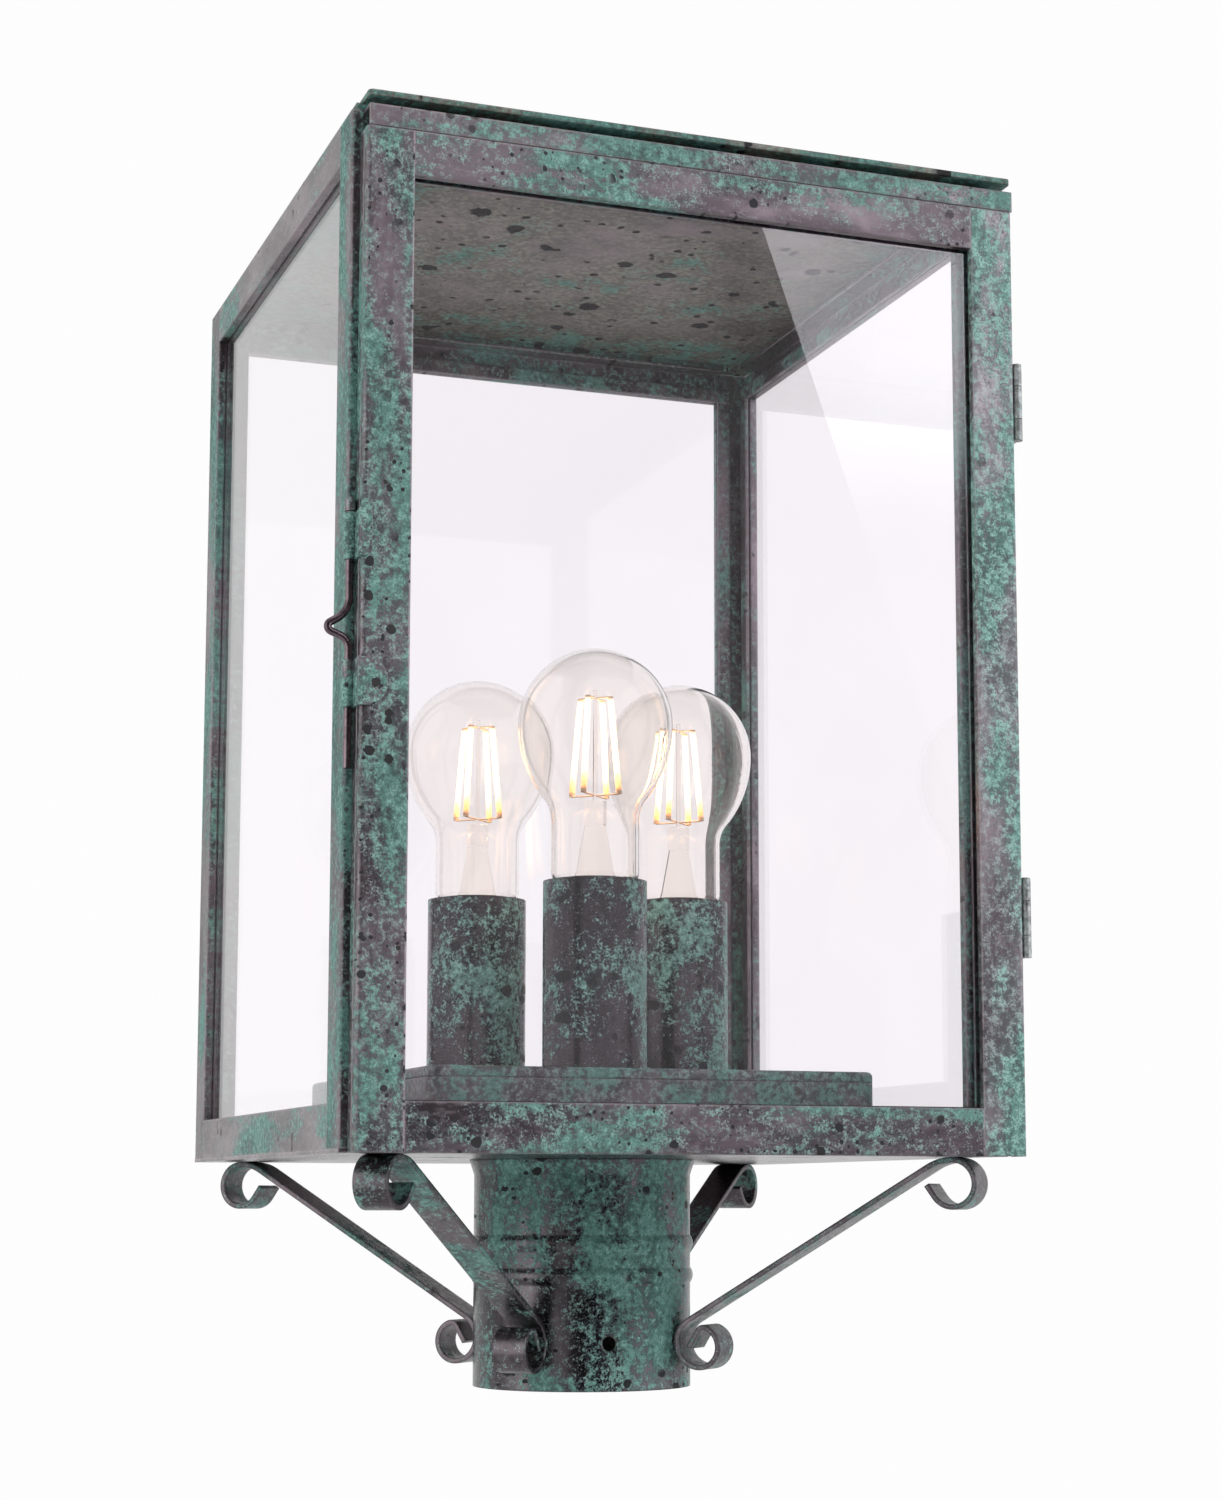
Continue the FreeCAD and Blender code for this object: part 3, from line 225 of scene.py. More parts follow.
# Where the crust is green: the layers' shares, and the height of their sum at which it turns green.
GRAIN_SHARE = 0.34
DRIFT_SHARE, BLOT_SHARE = 0.60, 0.50
GREEN_EDGE = 0.89           # the height at which half a surface is green
GREEN_RANGE = 0.30          # how far the cover moves that height
GREEN_BELOW, GREEN_ABOVE = 0.035, 0.045
FILM_EDGE = 0.275           # the haze's own height above it
FILM_RANGE, FILM_SOFT = 0.22, 0.04
FILM_GRAIN, FILM_SHARE = 0.55, 0.85
EDGE_BARE = -0.14
MARGIN_GREEN = 0.16
MARGIN_BAND = (0.070, 0.125)

# Pits: their width by chance, their ragged edge, and where they gather.
PIT_WIDE, PIT_KEPT, PIT_EDGE = (0.45, 1.0), (0.44, 0.50), (0.17, 0.12)
PIT_WARP = 0.30
GATHER_LOW, GATHER_PULL = 0.56, 0.09
GATHER_SOFT, GATHER_SMALL_SOFT = 0.07, 0.10
HOLE_GAIN = 1.4
RAGGED = 2.4
RAGGED_OUT, RAGGED_IN = 1.15, 0.85

# Bands of a layer's height between which a colour comes in, some with how far it comes in.
SHADE_BAND = (0.42, 0.58)
SPECK_TONE, BLOT_TONE = 0.45, 0.55
FINE_LIGHT, SPECK_LIGHT = 0.45, 0.55
PALE_EDGE, PALE_PULL, PALE_SOFT = 0.55, 0.08, 0.12
PALE_LEAST, PALE_GAIN = 0.30, 0.5
GRIT_BAND = (0.46, 0.38, 0.0, 0.75)
HAZE_BAND = (0.40, 0.62)
BROWN_BAND = (0.40, 0.60)
RUBBED_BAND = (0.50, 0.72, 0.0, 0.35)
# The middle one of these sets how far dark paints shade over the bare metal.
EDGE_RUB, PAINTED_SHADE_SHARE, PIT_SHADE = 0.5, 0.8, 0.9

# How rough, metallic and raised the surface is.
HAZE_COVERS = 0.6           # the haze counts for less crust than the green
ROUGH_BAND = (0.30, 0.70)
ROUGH_LEAST, ROUGH_MOST = 0.34, 0.46
GLOSS_LEAST, GLOSS_MOST = 0.13, 0.14
CRUST_ROUGH, PIT_ROUGH = 0.30, 0.35
METAL_BAND = (0.0, 0.9, 0.92, 0.10)
PIT_METAL = -0.7
SPECK_HEIGHT, FINE_HEIGHT, GREEN_HEIGHT, PIT_HEIGHT = 0.25, 0.16, 0.7, -0.5
BARE_GRAIN, CRUST_GRAIN = 0.15, 0.85
BUMP_STRENGTH, BUMP_DEPTH = 0.45, 0.00016
BEVEL_SAMPLES = 4
WORN_BAND = (0.985, 0.90)
INWARD_BAND = (-0.004, -0.012)


def laid_flat(g, place, axes):
    """The place on a face as two lengths along it, so that a flat face shows whole round pits."""
    lengths = g.axes(place)
    flat = g.add("ShaderNodeCombineXYZ")
    for axis, socket in zip(axes, ("X", "Y")):
        g.link(lengths[axis], flat.inputs[socket])
    return flat.outputs["Vector"]


def pits(g, place, scale, warp):
    """Round pits of many sizes: a cell's own random value sets how wide its pit is."""
    made = g.add("ShaderNodeTexVoronoi", feature="F1", voronoi_dimensions="2D")
    g.link(place, made.inputs["Vector"])
    made.inputs["Scale"].default_value = scale
    parts = g.add("ShaderNodeSeparateColor")
    g.link(made.outputs["Color"], parts.inputs["Color"])
    chance = parts.outputs["Red"]
    width = g.step(chance, *PIT_WIDE, 0.0, PIT_REACH)
    away = g.plus(warp, PIT_WARP, g.math("SUBTRACT", made.outputs["Distance"], width))
    return g.times(g.step(away, *PIT_EDGE), g.step(chance, *PIT_KEPT))


def painted_hole_shade(g, x, z, radius, warp):
    """One ragged hole at a place on the front, painted dark as the shade inside it."""
    lengths = g.axes(g.object_place)
    across = g.math("SUBTRACT", lengths["X"], x)
    up = g.math("SUBTRACT", lengths["Z"], z)
    squares = g.plus(across, across, g.times(up, up))
    away = g.plus(g.math("SUBTRACT", warp, 0.5), RAGGED * radius, g.math("SQRT", squares))
    return g.step(away, RAGGED_OUT * radius, RAGGED_IN * radius)


def worn_edges(g, reach):
    """One along convex edges, where hands and weather keep the metal bare."""
    rounded = g.add("ShaderNodeBevel", samples=BEVEL_SAMPLES)
    rounded.inputs["Radius"].default_value = reach
    soft = rounded.outputs["Normal"]
    return g.step(g.dot(soft, g.face_normal()), *WORN_BAND), soft


def facing_axis(g):
    """One on the faces that look towards the part's upright axis, as the inside of a tube does."""
    flat = g.add("ShaderNodeVectorMath", operation="MULTIPLY")
    g.link(g.object_place, flat.inputs[0])
    flat.inputs[1].default_value = (1.0, 1.0, 0.0)
    return g.step(g.dot(flat.outputs["Vector"], g.face_normal()), *INWARD_BAND)


def towards_margins(g):
    """Rises from none to one between two distances from the middle of a square plate."""
    lengths = g.axes(g.object_place)
    across = g.math("ABSOLUTE", lengths["X"])
    along = g.math("ABSOLUTE", lengths["Y"])
    return g.step(g.math("MAXIMUM", across, along), *MARGIN_BAND)


def crust(g, layers, edges, cover, film, margins):
    """How far the surface is green, and how far a thin haze lies on the bare metal."""
    grains = g.blend(layers["specks"], GRAIN_SHARE, layers["fine"], GRAIN_SHARE)
    lands = g.blend(layers["drifts"], DRIFT_SHARE, layers["blots"], BLOT_SHARE)
    lands = g.plus(edges, EDGE_BARE, lands)
    if margins:
        lands = g.plus(towards_margins(g), MARGIN_GREEN, lands)
    total = g.math("ADD", lands, grains)
    edge = GREEN_EDGE + GREEN_RANGE * (0.5 - cover)
    haze_edge = edge + FILM_EDGE
    green = g.step(total, edge - GREEN_BELOW, edge + GREEN_ABOVE)
    hazed = g.plus(layers["fine"], FILM_GRAIN, total)
    thin = g.step(hazed, haze_edge - FILM_RANGE * film, haze_edge + FILM_SOFT)
    return green, g.times(thin, FILM_SHARE)


def holes(g, place, along, spots, pit_size, pit_axes, blot):
    """Dark pits, large and small, gathered in places, and one ragged hole painted dark as its shade where
    there is one.
    """
    warp = g.noise(WARP_SCALE, detail=3.0, roughness=0.6, distortion=1.0, place=place)
    low = GATHER_LOW - GATHER_PULL * spots
    gather = g.step(g.noise(GATHER_SCALE, detail=2.0, place=place), low, low + GATHER_SOFT)
    gather_small = g.noise(GATHER_SMALL_SCALE, detail=2.0, place=along)
    gather_small = g.step(gather_small, low, low + GATHER_SMALL_SOFT)
    spread = laid_flat(g, place, pit_axes)
    large = g.times(pits(g, spread, PIT_SCALE / pit_size, warp), gather)
    small = g.times(pits(g, spread, PIT_SMALL_SCALE / pit_size, warp), gather_small)
    found = g.math("MINIMUM", g.times(g.math("MAXIMUM", large, small), spots * HOLE_GAIN), 1.0)
    if blot:
        found = g.math("MAXIMUM", found, painted_hole_shade(g, *blot, warp))
    return found


def verdigris(g, layers, pale):
    """The green itself: deep, middling and pale, with dark grains."""
    tone = g.blend(layers["specks"], SPECK_TONE, layers["blots"], BLOT_TONE)
    colour = g.mix(g.step(tone, *SHADE_BAND), GREEN_DEEP, GREEN_MID)
    light = g.blend(layers["fine"], FINE_LIGHT, layers["specks"], SPECK_LIGHT)
    edge = PALE_EDGE - PALE_PULL * pale
    paleness = g.step(light, edge, edge + PALE_SOFT, 0.0, PALE_LEAST + PALE_GAIN * pale)
    colour = g.mix(paleness, colour, GREEN_PALE)
    return g.mix(g.step(layers["fine"], *GRIT_BAND), colour, FILM_DARK)


def bare_metal(g, along, brushed, edges, hole, dark):
    """The metal under the crust: brown and dark, rubbed at its edges, darkened by painted shade as far as
    dark asks, black in its pits.
    """
    brown = g.step(g.noise(BROWN_SCALE, detail=4.0, roughness=0.6, place=along), *BROWN_BAND)
    colour = g.mix(brown, BARE_DARK, BARE_BROWN)
    colour = g.mix(g.step(brushed, *RUBBED_BAND), colour, BARE_WORN)
    colour = g.mix(g.times(edges, EDGE_RUB), colour, BARE_WORN)
    # Painted shade: dark darkens the bare metal to stand in for the dark room it mirrors.
    colour = g.mix(PAINTED_SHADE_SHARE * dark, colour, PAINTED_SHADE_TONE)
    return g.mix(g.times(hole, PIT_SHADE), colour, PIT_BLACK)


def patina(name, cover, pale, grain, seed, spots, film, gloss=0.0, dark=0.0, patch=1.0, pit_size=1.0,
           pit_axes="XZ", haze=(FILM_DARK, FILM_PALE), wear=0.0013, blot=None, margins=False, tube=False,
           shine=0.35):
    """Verdigris in granular drifts over dark metal.

    cover is how much is green, pale how light it is, grain stretches the drifts along a part, seed picks
    other drifts, spots is how many pits it has, film how far a speckled grey-green haze covers the bare
    metal, gloss how polished that metal is, dark how far painted shade darkens the bare metal's colour to
    stand in for the dark room it mirrors, patch how large the drifts are, pit_size how large the pits,
    pit_axes the plane in which they lie, haze the film's two colours, wear how wide the edges are rubbed,
    blot the place of one ragged hole on the front, painted dark as the shade inside it. margins turns a
    plate greener near its edges, tube paints shade on a tube's inside, shine is the crust's gloss.
    """
    g = Graph(name)
    place = g.placed(g.object_place, shift=seed)
    along = g.placed(place, scale=grain)
    layers = {
        "drifts": g.noise(DRIFT_SCALE / patch, detail=2.0, roughness=0.5, distortion=0.2, place=along),
        "blots": g.noise(BLOT_SCALE / patch, detail=5.0, roughness=0.62, distortion=0.15, place=along),
        "specks": g.noise(SPECK_SCALE, detail=3.0, roughness=0.65, place=place),
        "fine": g.noise(FINE_SCALE, detail=3.0, roughness=0.75, place=place),
    }
    brushed = g.noise(BRUSH_SCALE, detail=3.0, roughness=0.7, place=along)
    edges, soft_normal = worn_edges(g, wear)

    green, thin = crust(g, layers, edges, cover, film, margins)
    hole = holes(g, place, along, spots, pit_size, pit_axes, blot)
    kept = g.math("SUBTRACT", 1.0, hole)
    green = g.times(green, kept)
    thin = g.times(thin, kept)

    hazy = g.mix(g.step(layers["specks"], *HAZE_BAND), *haze)
    colour = g.mix(thin, bare_metal(g, along, brushed, edges, hole, dark), hazy)
    colour = g.mix(green, colour, verdigris(g, layers, pale))

    covered = g.math("MAXIMUM", green, g.times(thin, HAZE_COVERS))
    least, most = ROUGH_LEAST - GLOSS_LEAST * gloss, ROUGH_MOST - GLOSS_MOST * gloss
    roughness = g.step(brushed, *ROUGH_BAND, least, most)
    roughness = g.plus(covered, CRUST_ROUGH, roughness)
    roughness = g.plus(hole, PIT_ROUGH, roughness)
    # Painted shade: faces inside a tube turn dark and rough, since the inside of a sleeve lies in shade.
    if tube:
        inner = facing_axis(g)
        colour = g.mix(inner, colour, PAINTED_INNER_SHADE)
        roughness = g.math("MAXIMUM", roughness, inner)
    metallic = g.times(g.step(covered, *METAL_BAND), g.plus(hole, PIT_METAL, 1.0))

    height = g.blend(layers["specks"], SPECK_HEIGHT, layers["fine"], FINE_HEIGHT)
    height = g.times(height, g.plus(covered, CRUST_GRAIN, BARE_GRAIN))
    height = g.plus(green, GREEN_HEIGHT, height)
    height = g.plus(hole, PIT_HEIGHT, height)
    normal = g.bump(height, BUMP_STRENGTH, BUMP_DEPTH, soft_normal)
    return g.finish(g.principled(Base_Color=colour, Metallic=metallic, Roughness=roughness,
                                 Specular_IOR_Level=shine, Normal=normal))


# ---- glass ----

SMEAR_SCALE = 11.0
SMEAR_BAND = (0.40, 0.62)


def clear_glass(name, tint, ior, roughness=0.0, smears=0.99):
    """Clear glass, faintly smeared, that lets lamp light through to what is behind it."""
    g = Graph(name)
    smeared = (tint[0] * smears, tint[1] * smears, tint[2] * smears, 1.0)
    patches = g.step(g.noise(SMEAR_SCALE, detail=3.0, distortion=0.8), *SMEAR_BAND)
    colour = g.mix(patches, tint, smeared)
    glass = g.principled(Base_Color=colour, Roughness=roughness, IOR=ior, Transmission_Weight=1.0)
    open_way = g.add("ShaderNodeBsdfTransparent")
    g.link(colour, open_way.inputs["Color"])
    path = g.add("ShaderNodeLightPath")
    return g.finish(g.choose(path.outputs["Is Shadow Ray"], glass, open_way.outputs["BSDF"]))


# ---- small plain finishes, each with its own grain ----

GRAIN_FINER = 9.0           # how much finer the small grain is than the wide one
GRAIN_DEPTH = 0.00008
SMALL_GRAIN, WIDE_GRAIN = 0.4, 0.6
GRAIN_BAND = (0.36, 0.62)
GRAIN_ROUGH_BAND = (0.3, 0.7)
SMOOTHER, ROUGHER = 0.8, 1.25


def grained(name, dark, light, metallic, roughness, scale, lift=0.25):
    g = Graph(name)
    wide = g.noise(scale, detail=5.0, roughness=0.6)
    fine = g.noise(scale * GRAIN_FINER, detail=4.0, roughness=0.7)
    colour = g.mix(g.step(g.blend(fine, SMALL_GRAIN, wide, WIDE_GRAIN), *GRAIN_BAND), dark, light)
    rough = g.step(fine, *GRAIN_ROUGH_BAND, roughness * SMOOTHER, min(1.0, roughness * ROUGHER))
    return g.finish(g.principled(Base_Color=colour, Metallic=metallic, Roughness=rough,
                                 Normal=g.bump(fine, lift, GRAIN_DEPTH)))


WARM_DEEP = rgb(255, 176, 104)
WARM_LIGHT = rgb(255, 196, 130)
LIT_DEEP = rgb(255, 222, 170)
LIT_LIGHT = rgb(255, 232, 196)
LAMP_WIRE = rgb(196, 164, 134)
FILAMENT_GLOW = 2.2
FILAMENT_ROUGH = 0.4
WIRE_BELOW = (0.0012, 0.0030)       # bands of height from a filament's lower end, in metres
WARM_BELOW = (0.002, 0.012)
BRIGHTER_ABOVE = (0.002, 0.014)
WIRE_ABOVE = (0.0006, 0.0022)       # a band of height down from its upper end
MOTTLE_SCALE = 900.0
MOTTLE_BAND = (0.35, 0.65)


def glowing(name, low, high, strength):
    """Lit filaments: dark wires above and below, and rods that run warm towards their lower ends."""
    g = Graph(name)
    level = g.axes(g.object_place)["Z"]
    above = g.math("SUBTRACT", level, low)
    below = g.math("SUBTRACT", high, level)
    lit = g.times(g.step(above, *WIRE_BELOW), g.step(below, *WIRE_ABOVE))
    mottle = g.step(g.noise(MOTTLE_SCALE, detail=3.0), *MOTTLE_BAND)
    warm = g.mix(mottle, WARM_DEEP, WARM_LIGHT)
    white = g.mix(mottle, LIT_DEEP, LIT_LIGHT)
    colour = g.mix(g.step(above, *WARM_BELOW), warm, white)
    rising = g.step(above, *BRIGHTER_ABOVE, 1.0, strength)
    return g.finish(g.principled(Base_Color=g.mix(lit, LAMP_WIRE, colour), Roughness=FILAMENT_ROUGH,
                                 Emission_Color=colour, Emission_Strength=g.times(lit, rising)))


def paint(names, material):
    for name in names:
        mesh = nodes[name].data
        mesh.materials.clear()
        mesh.materials.append(material)


def named(*starts):
    return [name for name in nodes if name.startswith(starts)]


EVEN = (1, 1, 1)
UPRIGHT = (1.0, 1.0, 0.38)
UPRIGHT_SLIGHT = (1, 1, 0.7)
UPRIGHT_SLEEVE = (1, 1, 0.5)
ALONG_X = (0.38, 1.0, 1.0)
ALONG_Y = (1.0, 0.38, 1.0)
THIN_WEAR = 0.0003
# Painted shade: where the latch tongue's hole is, painted dark rather than cut.
TONGUE_HOLE = (-0.1219, 0.2484, 0.0021)     # left to right, height, radius


def dress_body():
    paint(named("corner_post"),
          patina("patina_posts", cover=0.42, pale=0.40, grain=UPRIGHT, seed=(0.3, 0.1, 0.2), spots=0.6,
                 film=0.5))
    paint(["front_header", "front_sill", "drip_rail", "top_rail_back", "bottom_rail_back"],
          patina("patina_front", cover=0.40, pale=0.45, grain=ALONG_X, seed=(0.2, 3.3, 0.6), spots=0.6,
                 film=0.6))
    paint(["top_rail_left", "top_rail_right", "bottom_rail_left", "bottom_rail_right"],
          patina("patina_sides", cover=0.22, pale=0.60, grain=ALONG_Y, seed=(0.6, 0.2, 2.3), spots=0.4,
                 film=0.3, gloss=0.6, pit_axes="YZ"))
    paint(["floor_plate"],
          patina("patina_floor", cover=0.02, pale=0.30, grain=EVEN, seed=(2.2, 0.5, 0.7), spots=0.2,
                 film=0.0, gloss=1.0))
    paint(["roof_plate", "roof_seat"],
          patina("patina_roof", cover=0.12, pale=0.30, grain=EVEN, seed=(0.4, 0.8, 3.1), spots=1.1,
                 film=1.7, pit_size=2.4, patch=1.5, pit_axes="XY", haze=(OLIVE_DARK, OLIVE_PALE),
                 margins=True, shine=0.10))
    paint(named("glass_strips", "door_glass_strips"),
          patina("patina_strips", cover=0.38, pale=0.35, grain=UPRIGHT, seed=(3.5, 0.2, 1.1), spots=0.5,
                 film=0.5))


def dress_door():
    paint(["door_stile_left"],
          patina("patina_stile_left", cover=0.46, pale=0.50, grain=UPRIGHT, seed=(1.7, 0.4, 0.9), spots=1.0,
                 film=0.7))
    # The right stile's pale haze is partly real film and partly a painted highlight for the bright cloth it
    # mirrors.
    paint(["door_stile_right"],
          patina("patina_and_sheen_stile_right", cover=0.42, pale=0.95, grain=UPRIGHT, seed=(2.2, 1.1, 0.7), spots=0.5,
                 film=1.1, gloss=0.6))
    # On both door rails, dark adds a little painted shade to the bare metal.
    paint(["door_rail_top"],
          patina("patina_and_shade_rail_top", cover=0.36, pale=0.55, grain=ALONG_X, seed=(0.9, 2.1, 0.5), spots=0.8,
                 film=0.5, dark=0.2))
    paint(["door_rail_bottom"],
          patina("patina_and_shade_rail_bottom", cover=0.42, pale=0.45, grain=ALONG_X, seed=(4.1, 0.6, 0.4), spots=1.0,
                 film=0.5, dark=0.25))


def dress_lamp_mounts():
    # Painted shade: dark darkens the wiring box's bare metal.
    paint(["wiring_box", "wiring_box_lid"],
          patina("patina_box", cover=0.32, pale=0.30, grain=EVEN, seed=(5.2, 1.6, 0.3), spots=0.4, film=0.9,
                 dark=0.4))
    # Painted shade: dark paints the lamp sleeves' bare metal near black for the dark room they mirror.
    paint(named("lamp_sleeve"),
          patina("patina_lamp_sleeve", cover=0.42, pale=0.70, grain=UPRIGHT_SLIGHT, seed=(2.6, 3.4, 1.9),
                 spots=1.0, film=0.0, gloss=1.3, dark=0.95, patch=1.2, pit_size=1.2))


def dress_foot():
    # Painted shade: dark paints the sleeve's bare metal near black for the dark room it mirrors, and tube
    # paints shade inside it.
    paint(["post_sleeve"],
          patina("patina_and_shade_post_sleeve", cover=0.44, pale=0.35, grain=UPRIGHT_SLEEVE, seed=(0.7, 0.9, 6.2),
                 spots=0.9, film=0.2, gloss=1.0, dark=0.9, patch=1.2, tube=True, shine=0.15))
    # Painted shade: dark darkens the brackets' bare metal where they would mirror the bright cloth.
    paint(named("scroll_bracket"),
          patina("patina_scroll", cover=0.28, pale=0.30, grain=EVEN, seed=(6.0, 2.2, 0.2), spots=0.3,
                 film=0.4, gloss=0.6, dark=0.75))


def dress_fittings():
    paint(named("hinge"),
          patina("patina_hinge", cover=0.20, pale=0.60, grain=EVEN, seed=(7.1, 0.3, 0.8), spots=0.2,
                 film=2.2, gloss=0.3, wear=THIN_WEAR, haze=(HINGE_DARK, HINGE_PALE)))
    paint(["latch_keeper"],
          patina("patina_keeper", cover=0.40, pale=0.50, grain=EVEN, seed=(0.4, 6.1, 0.4), spots=0.6,
                 film=0.6, wear=THIN_WEAR))
    paint(["latch_guides"],
          patina("patina_and_shade_guides", cover=0.50, pale=0.80, grain=EVEN, seed=(0.2, 7.7, 0.4), spots=1.0,
                 film=0.6, wear=THIN_WEAR, blot=TONGUE_HOLE))
    paint(["latch_rod"],
          grained("rod_iron", rgb(74, 64, 68), rgb(116, 102, 107), metallic=0.95, roughness=0.30, scale=45.0,
                  lift=0.06))


WINDOW_TINT = (0.994, 0.972, 0.994, 1.0)
BULB_TINT = (0.990, 0.970, 0.948, 1.0)
STEM_TINT = (0.985, 0.95, 0.92, 1.0)


def dress_glass():
    paint(["glass_left", "glass_right", "glass_back", "door_glass"],
          clear_glass("window_pane", WINDOW_TINT, ior=1.4))
    paint(named("bulb_glass"), clear_glass("bulb_clear", BULB_TINT, ior=1.33))
    paint(["bulb_stems"], clear_glass("stem_clear", STEM_TINT, ior=1.045, roughness=0.02, smears=0.97))


def dress_inside():
    paint(["bulb_bases"],
          grained("lamp_cap", rgb(150, 146, 140), rgb(205, 202, 196), metallic=1.0, roughness=0.28,
                  scale=60.0))
    low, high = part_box("bulb_filaments")
    paint(["bulb_filaments"], glowing("filament_lit", low.z, high.z, FILAMENT_GLOW))
    paint(named("lampholder"),
          grained("porcelain", rgb(214, 210, 200), rgb(234, 231, 222), metallic=0.0, roughness=0.25,
                  scale=40.0, lift=0.1))
    paint(["holder_contacts", "lamp_nipples", "nipple_nuts"],
          grained("brass_plain", rgb(150, 120, 66), rgb(196, 164, 98), metallic=1.0, roughness=0.32,
                  scale=80.0))
    paint(["terminal_block"],
          grained("terminal_moulding", rgb(206, 202, 190), rgb(226, 222, 212), metallic=0.0, roughness=0.5,
                  scale=50.0))
    paint(["earth_screw"],
          grained("screw_steel", rgb(140, 140, 142), rgb(186, 186, 188), metallic=1.0, roughness=0.35,
                  scale=70.0))
    paint(["internal_leads"],
          grained("lead_skin", rgb(178, 170, 152), rgb(204, 196, 178), metallic=0.0, roughness=0.55,
                  scale=60.0))


# ---- camera, stage and light; lengths in metres, powers in watts ----

CAMERA_PLACE = Vector((-0.3554, -1.0383, 0.0719))
CAMERA_YAW = math.radians(20.20)
CAMERA_PITCH = math.radians(7.23)
SENSOR_HEIGHT = 36.0
LENS = 65.82
SHIFT_ACROSS, SHIFT_UP = -0.0223, 0.0685
NEAREST, FARTHEST = 0.01, 50.0

BACKGROUND = (0.985, 0.985, 0.985, 1.0)
SKY_LEVEL = 0.44
FLOOR_LEVEL = -1.1
FLOOR_HALF = 6.0
FLOOR_COLOUR = (0.88, 0.88, 0.88, 1.0)
FLOOR_WHITE = 0.95          # the rest of the floor's look is its real shading, with the shadow
CARD_COLOUR = (0.02, 0.02, 0.022, 1.0)
CLOTH = (0.96, 0.94, 1.0, 1.0)

DARK_CARD = [(-1.6, -2.5, -1.0), (1.86, -2.5, -1.0), (0.72, -2.5, 2.2), (-1.6, -2.5, 2.2)]
HIGH_CLOTH = [(0.4, -2.6, 0.35), (1.75, -2.6, 0.35), (1.75, -2.6, 2.3), (0.4, -2.6, 2.3)]
RIGHT_CLOTH = [(1.45, -2.55, -0.7), (2.9, -0.5, -0.7), (2.9, -0.5, 1.7), (1.45, -2.55, 1.7)]

OBJECT_MIDDLE = (0.0, 0.0, 0.25)
LAMP_POWER = 0.10
LAMP_COLOUR = (1.0, 0.74, 0.46)
LAMP_SIZE = 0.010
LAMP_DROP = 0.038           # filaments' middle below the bulb's top


def camera():
    data = bpy.data.cameras.new("camera")
    data.sensor_fit = "VERTICAL"
    data.sensor_height = SENSOR_HEIGHT
    data.lens = LENS
    data.shift_x = SHIFT_ACROSS
    data.shift_y = SHIFT_UP
    data.clip_start, data.clip_end = NEAREST, FARTHEST
    made = bpy.data.objects.new("camera", data)
    made.location = CAMERA_PLACE
    made.rotation_euler = (math.pi / 2 + CAMERA_PITCH, 0.0, -CAMERA_YAW)
    scene.collection.objects.link(made)
    scene.camera = made


def quad(name, corners, material):
    """A flat stage panel from its corners."""
    mesh = bpy.data.meshes.new(name)
    mesh.from_pydata([tuple(c) for c in corners], [], [tuple(range(len(corners)))])
    mesh.materials.append(material)
    made = bpy.data.objects.new(name, mesh)
    scene.collection.objects.link(made)
    return made


def seen_directly(tree):
    """One where a ray comes from the camera, through glass or off a mirroring surface."""
    path = tree.nodes.new("ShaderNodeLightPath")
    seen = path.outputs["Is Camera Ray"]
    for kind in ("Is Transmission Ray", "Is Glossy Ray"):
        either = tree.nodes.new("ShaderNodeMath")
        either.operation = "MAXIMUM"
        tree.links.new(seen, either.inputs[0])
        tree.links.new(path.outputs[kind], either.inputs[1])
        seen = either.outputs["Value"]
    return seen


def white_floor():
    """White to the camera and in reflections, yet with a share of its real shading and so the shadow."""
    g = Graph("studio_white")
    share = g.times(seen_directly(g.tree), FLOOR_WHITE)
    return g.finish(g.choose(share, g.diffuse(FLOOR_COLOUR), g.emission(BACKGROUND)))


def floor():
    half = FLOOR_HALF
    corners = [(-half, -half), (half, -half), (half, half), (-half, half)]
    quad("stage_floor", [(x, y, FLOOR_LEVEL) for x, y in corners], white_floor())


def world():
    """White where it is seen, mirrored or looked through; a softer sky for the light on the object."""
    made = bpy.data.worlds.new("studio")
    made.use_nodes = True
    tree = made.node_tree
    tree.nodes.clear()
    level = tree.nodes.new("ShaderNodeMapRange")
    tree.links.new(seen_directly(tree), level.inputs["Value"])
    level.inputs["To Min"].default_value = SKY_LEVEL
    level.inputs["To Max"].default_value = 1.0
    light = tree.nodes.new("ShaderNodeBackground")
    light.inputs["Color"].default_value = BACKGROUND
    tree.links.new(level.outputs["Result"], light.inputs["Strength"])
    out = tree.nodes.new("ShaderNodeOutputWorld")
    tree.links.new(light.outputs["Background"], out.inputs["Surface"])
    scene.world = made


def card_black():
    g = Graph("studio_black")
    return g.finish(g.diffuse(CARD_COLOUR))


def soft_panel(name, low, high, weak, strong):
    """An emitting cloth whose light rises from one level to another."""
    g = Graph(name)
    level = g.axes(g.object_place)["Z"]
    return g.finish(g.emission(CLOTH, g.step(level, low, high, weak, strong)))


def only_reflected(item, lights=False):
    """Keeps a panel out of the camera's sight; it may still light the object."""
    item.visible_camera = False
    item.visible_diffuse = lights
    item.visible_shadow = False
    item.visible_transmission = False


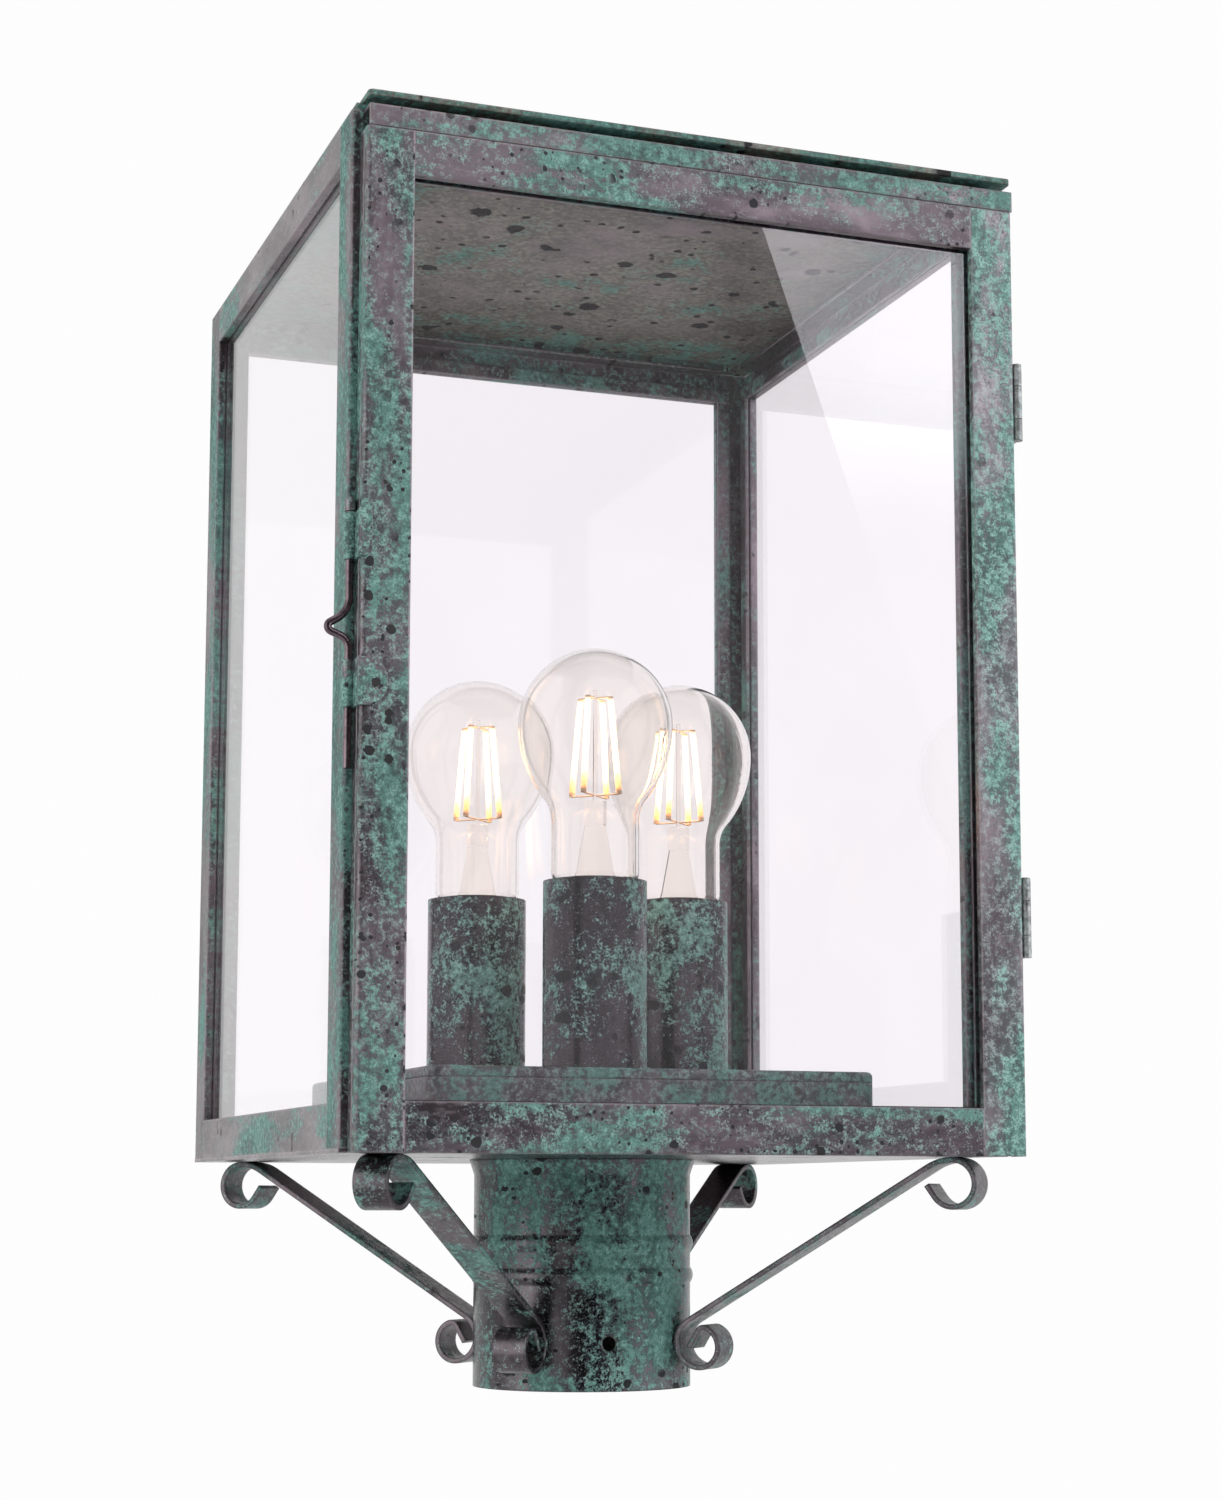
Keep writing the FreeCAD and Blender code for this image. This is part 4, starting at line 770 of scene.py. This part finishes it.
def panels():
    """The room as metal and glass mirror it: dark behind the camera, lit cloths to its right."""
    only_reflected(quad("card_behind_camera", DARK_CARD, card_black()))
    high = soft_panel("cloth_high_glow", low=0.98, high=1.27, weak=0.6, strong=7.6)
    only_reflected(quad("cloth_high", HIGH_CLOTH, high))
    right = soft_panel("cloth_right_glow", low=-0.7, high=1.2, weak=2.3, strong=4.4)
    only_reflected(quad("cloth_right", RIGHT_CLOTH, right), lights=True)


def stage_light(name, data, place, mirrored):
    """Adds a lamp that the camera doesn't see."""
    made = bpy.data.objects.new(name, data)
    made.location = place
    made.visible_camera = False
    made.visible_transmission = False
    made.visible_glossy = mirrored
    scene.collection.objects.link(made)
    return made


def softbox(name, place, width, height, power, mirrored=True):
    """A soft rectangular lamp aimed at the object's middle."""
    data = bpy.data.lights.new(name, "AREA")
    data.shape = "RECTANGLE"
    data.size, data.size_y = width, height
    data.energy = power
    made = stage_light(name, data, place, mirrored)
    made.rotation_euler = (Vector(OBJECT_MIDDLE) - Vector(place)).to_track_quat("-Z", "Y").to_euler()


def lamp_glow(lamp):
    """The warm light that one lit lamp gives."""
    low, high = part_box(f"bulb_glass_{lamp}")
    data = bpy.data.lights.new(f"lamp_glow_{lamp}", "POINT")
    data.energy = LAMP_POWER
    data.color = LAMP_COLOUR
    data.shadow_soft_size = LAMP_SIZE
    place = ((low.x + high.x) / 2, (low.y + high.y) / 2, high.z - LAMP_DROP)
    stage_light(f"lamp_glow_{lamp}", data, place, mirrored=False)


def lights():
    softbox("light_left", (-2.0, -0.45, 0.45), width=2.0, height=1.9, power=21.0)
    softbox("light_back_left", (-0.75, 2.4, 0.55), width=1.5, height=1.9, power=42.0, mirrored=False)
    softbox("light_top", (0.0, -0.4, 2.1), width=1.4, height=1.4, power=9.0)
    for lamp in ("front", "right", "left"):
        lamp_glow(lamp)


dress_body()
dress_door()
dress_lamp_mounts()
dress_foot()
dress_fittings()
dress_glass()
dress_inside()
camera()
floor()
world()
panels()
lights()
scene.view_settings.view_transform = "Standard"
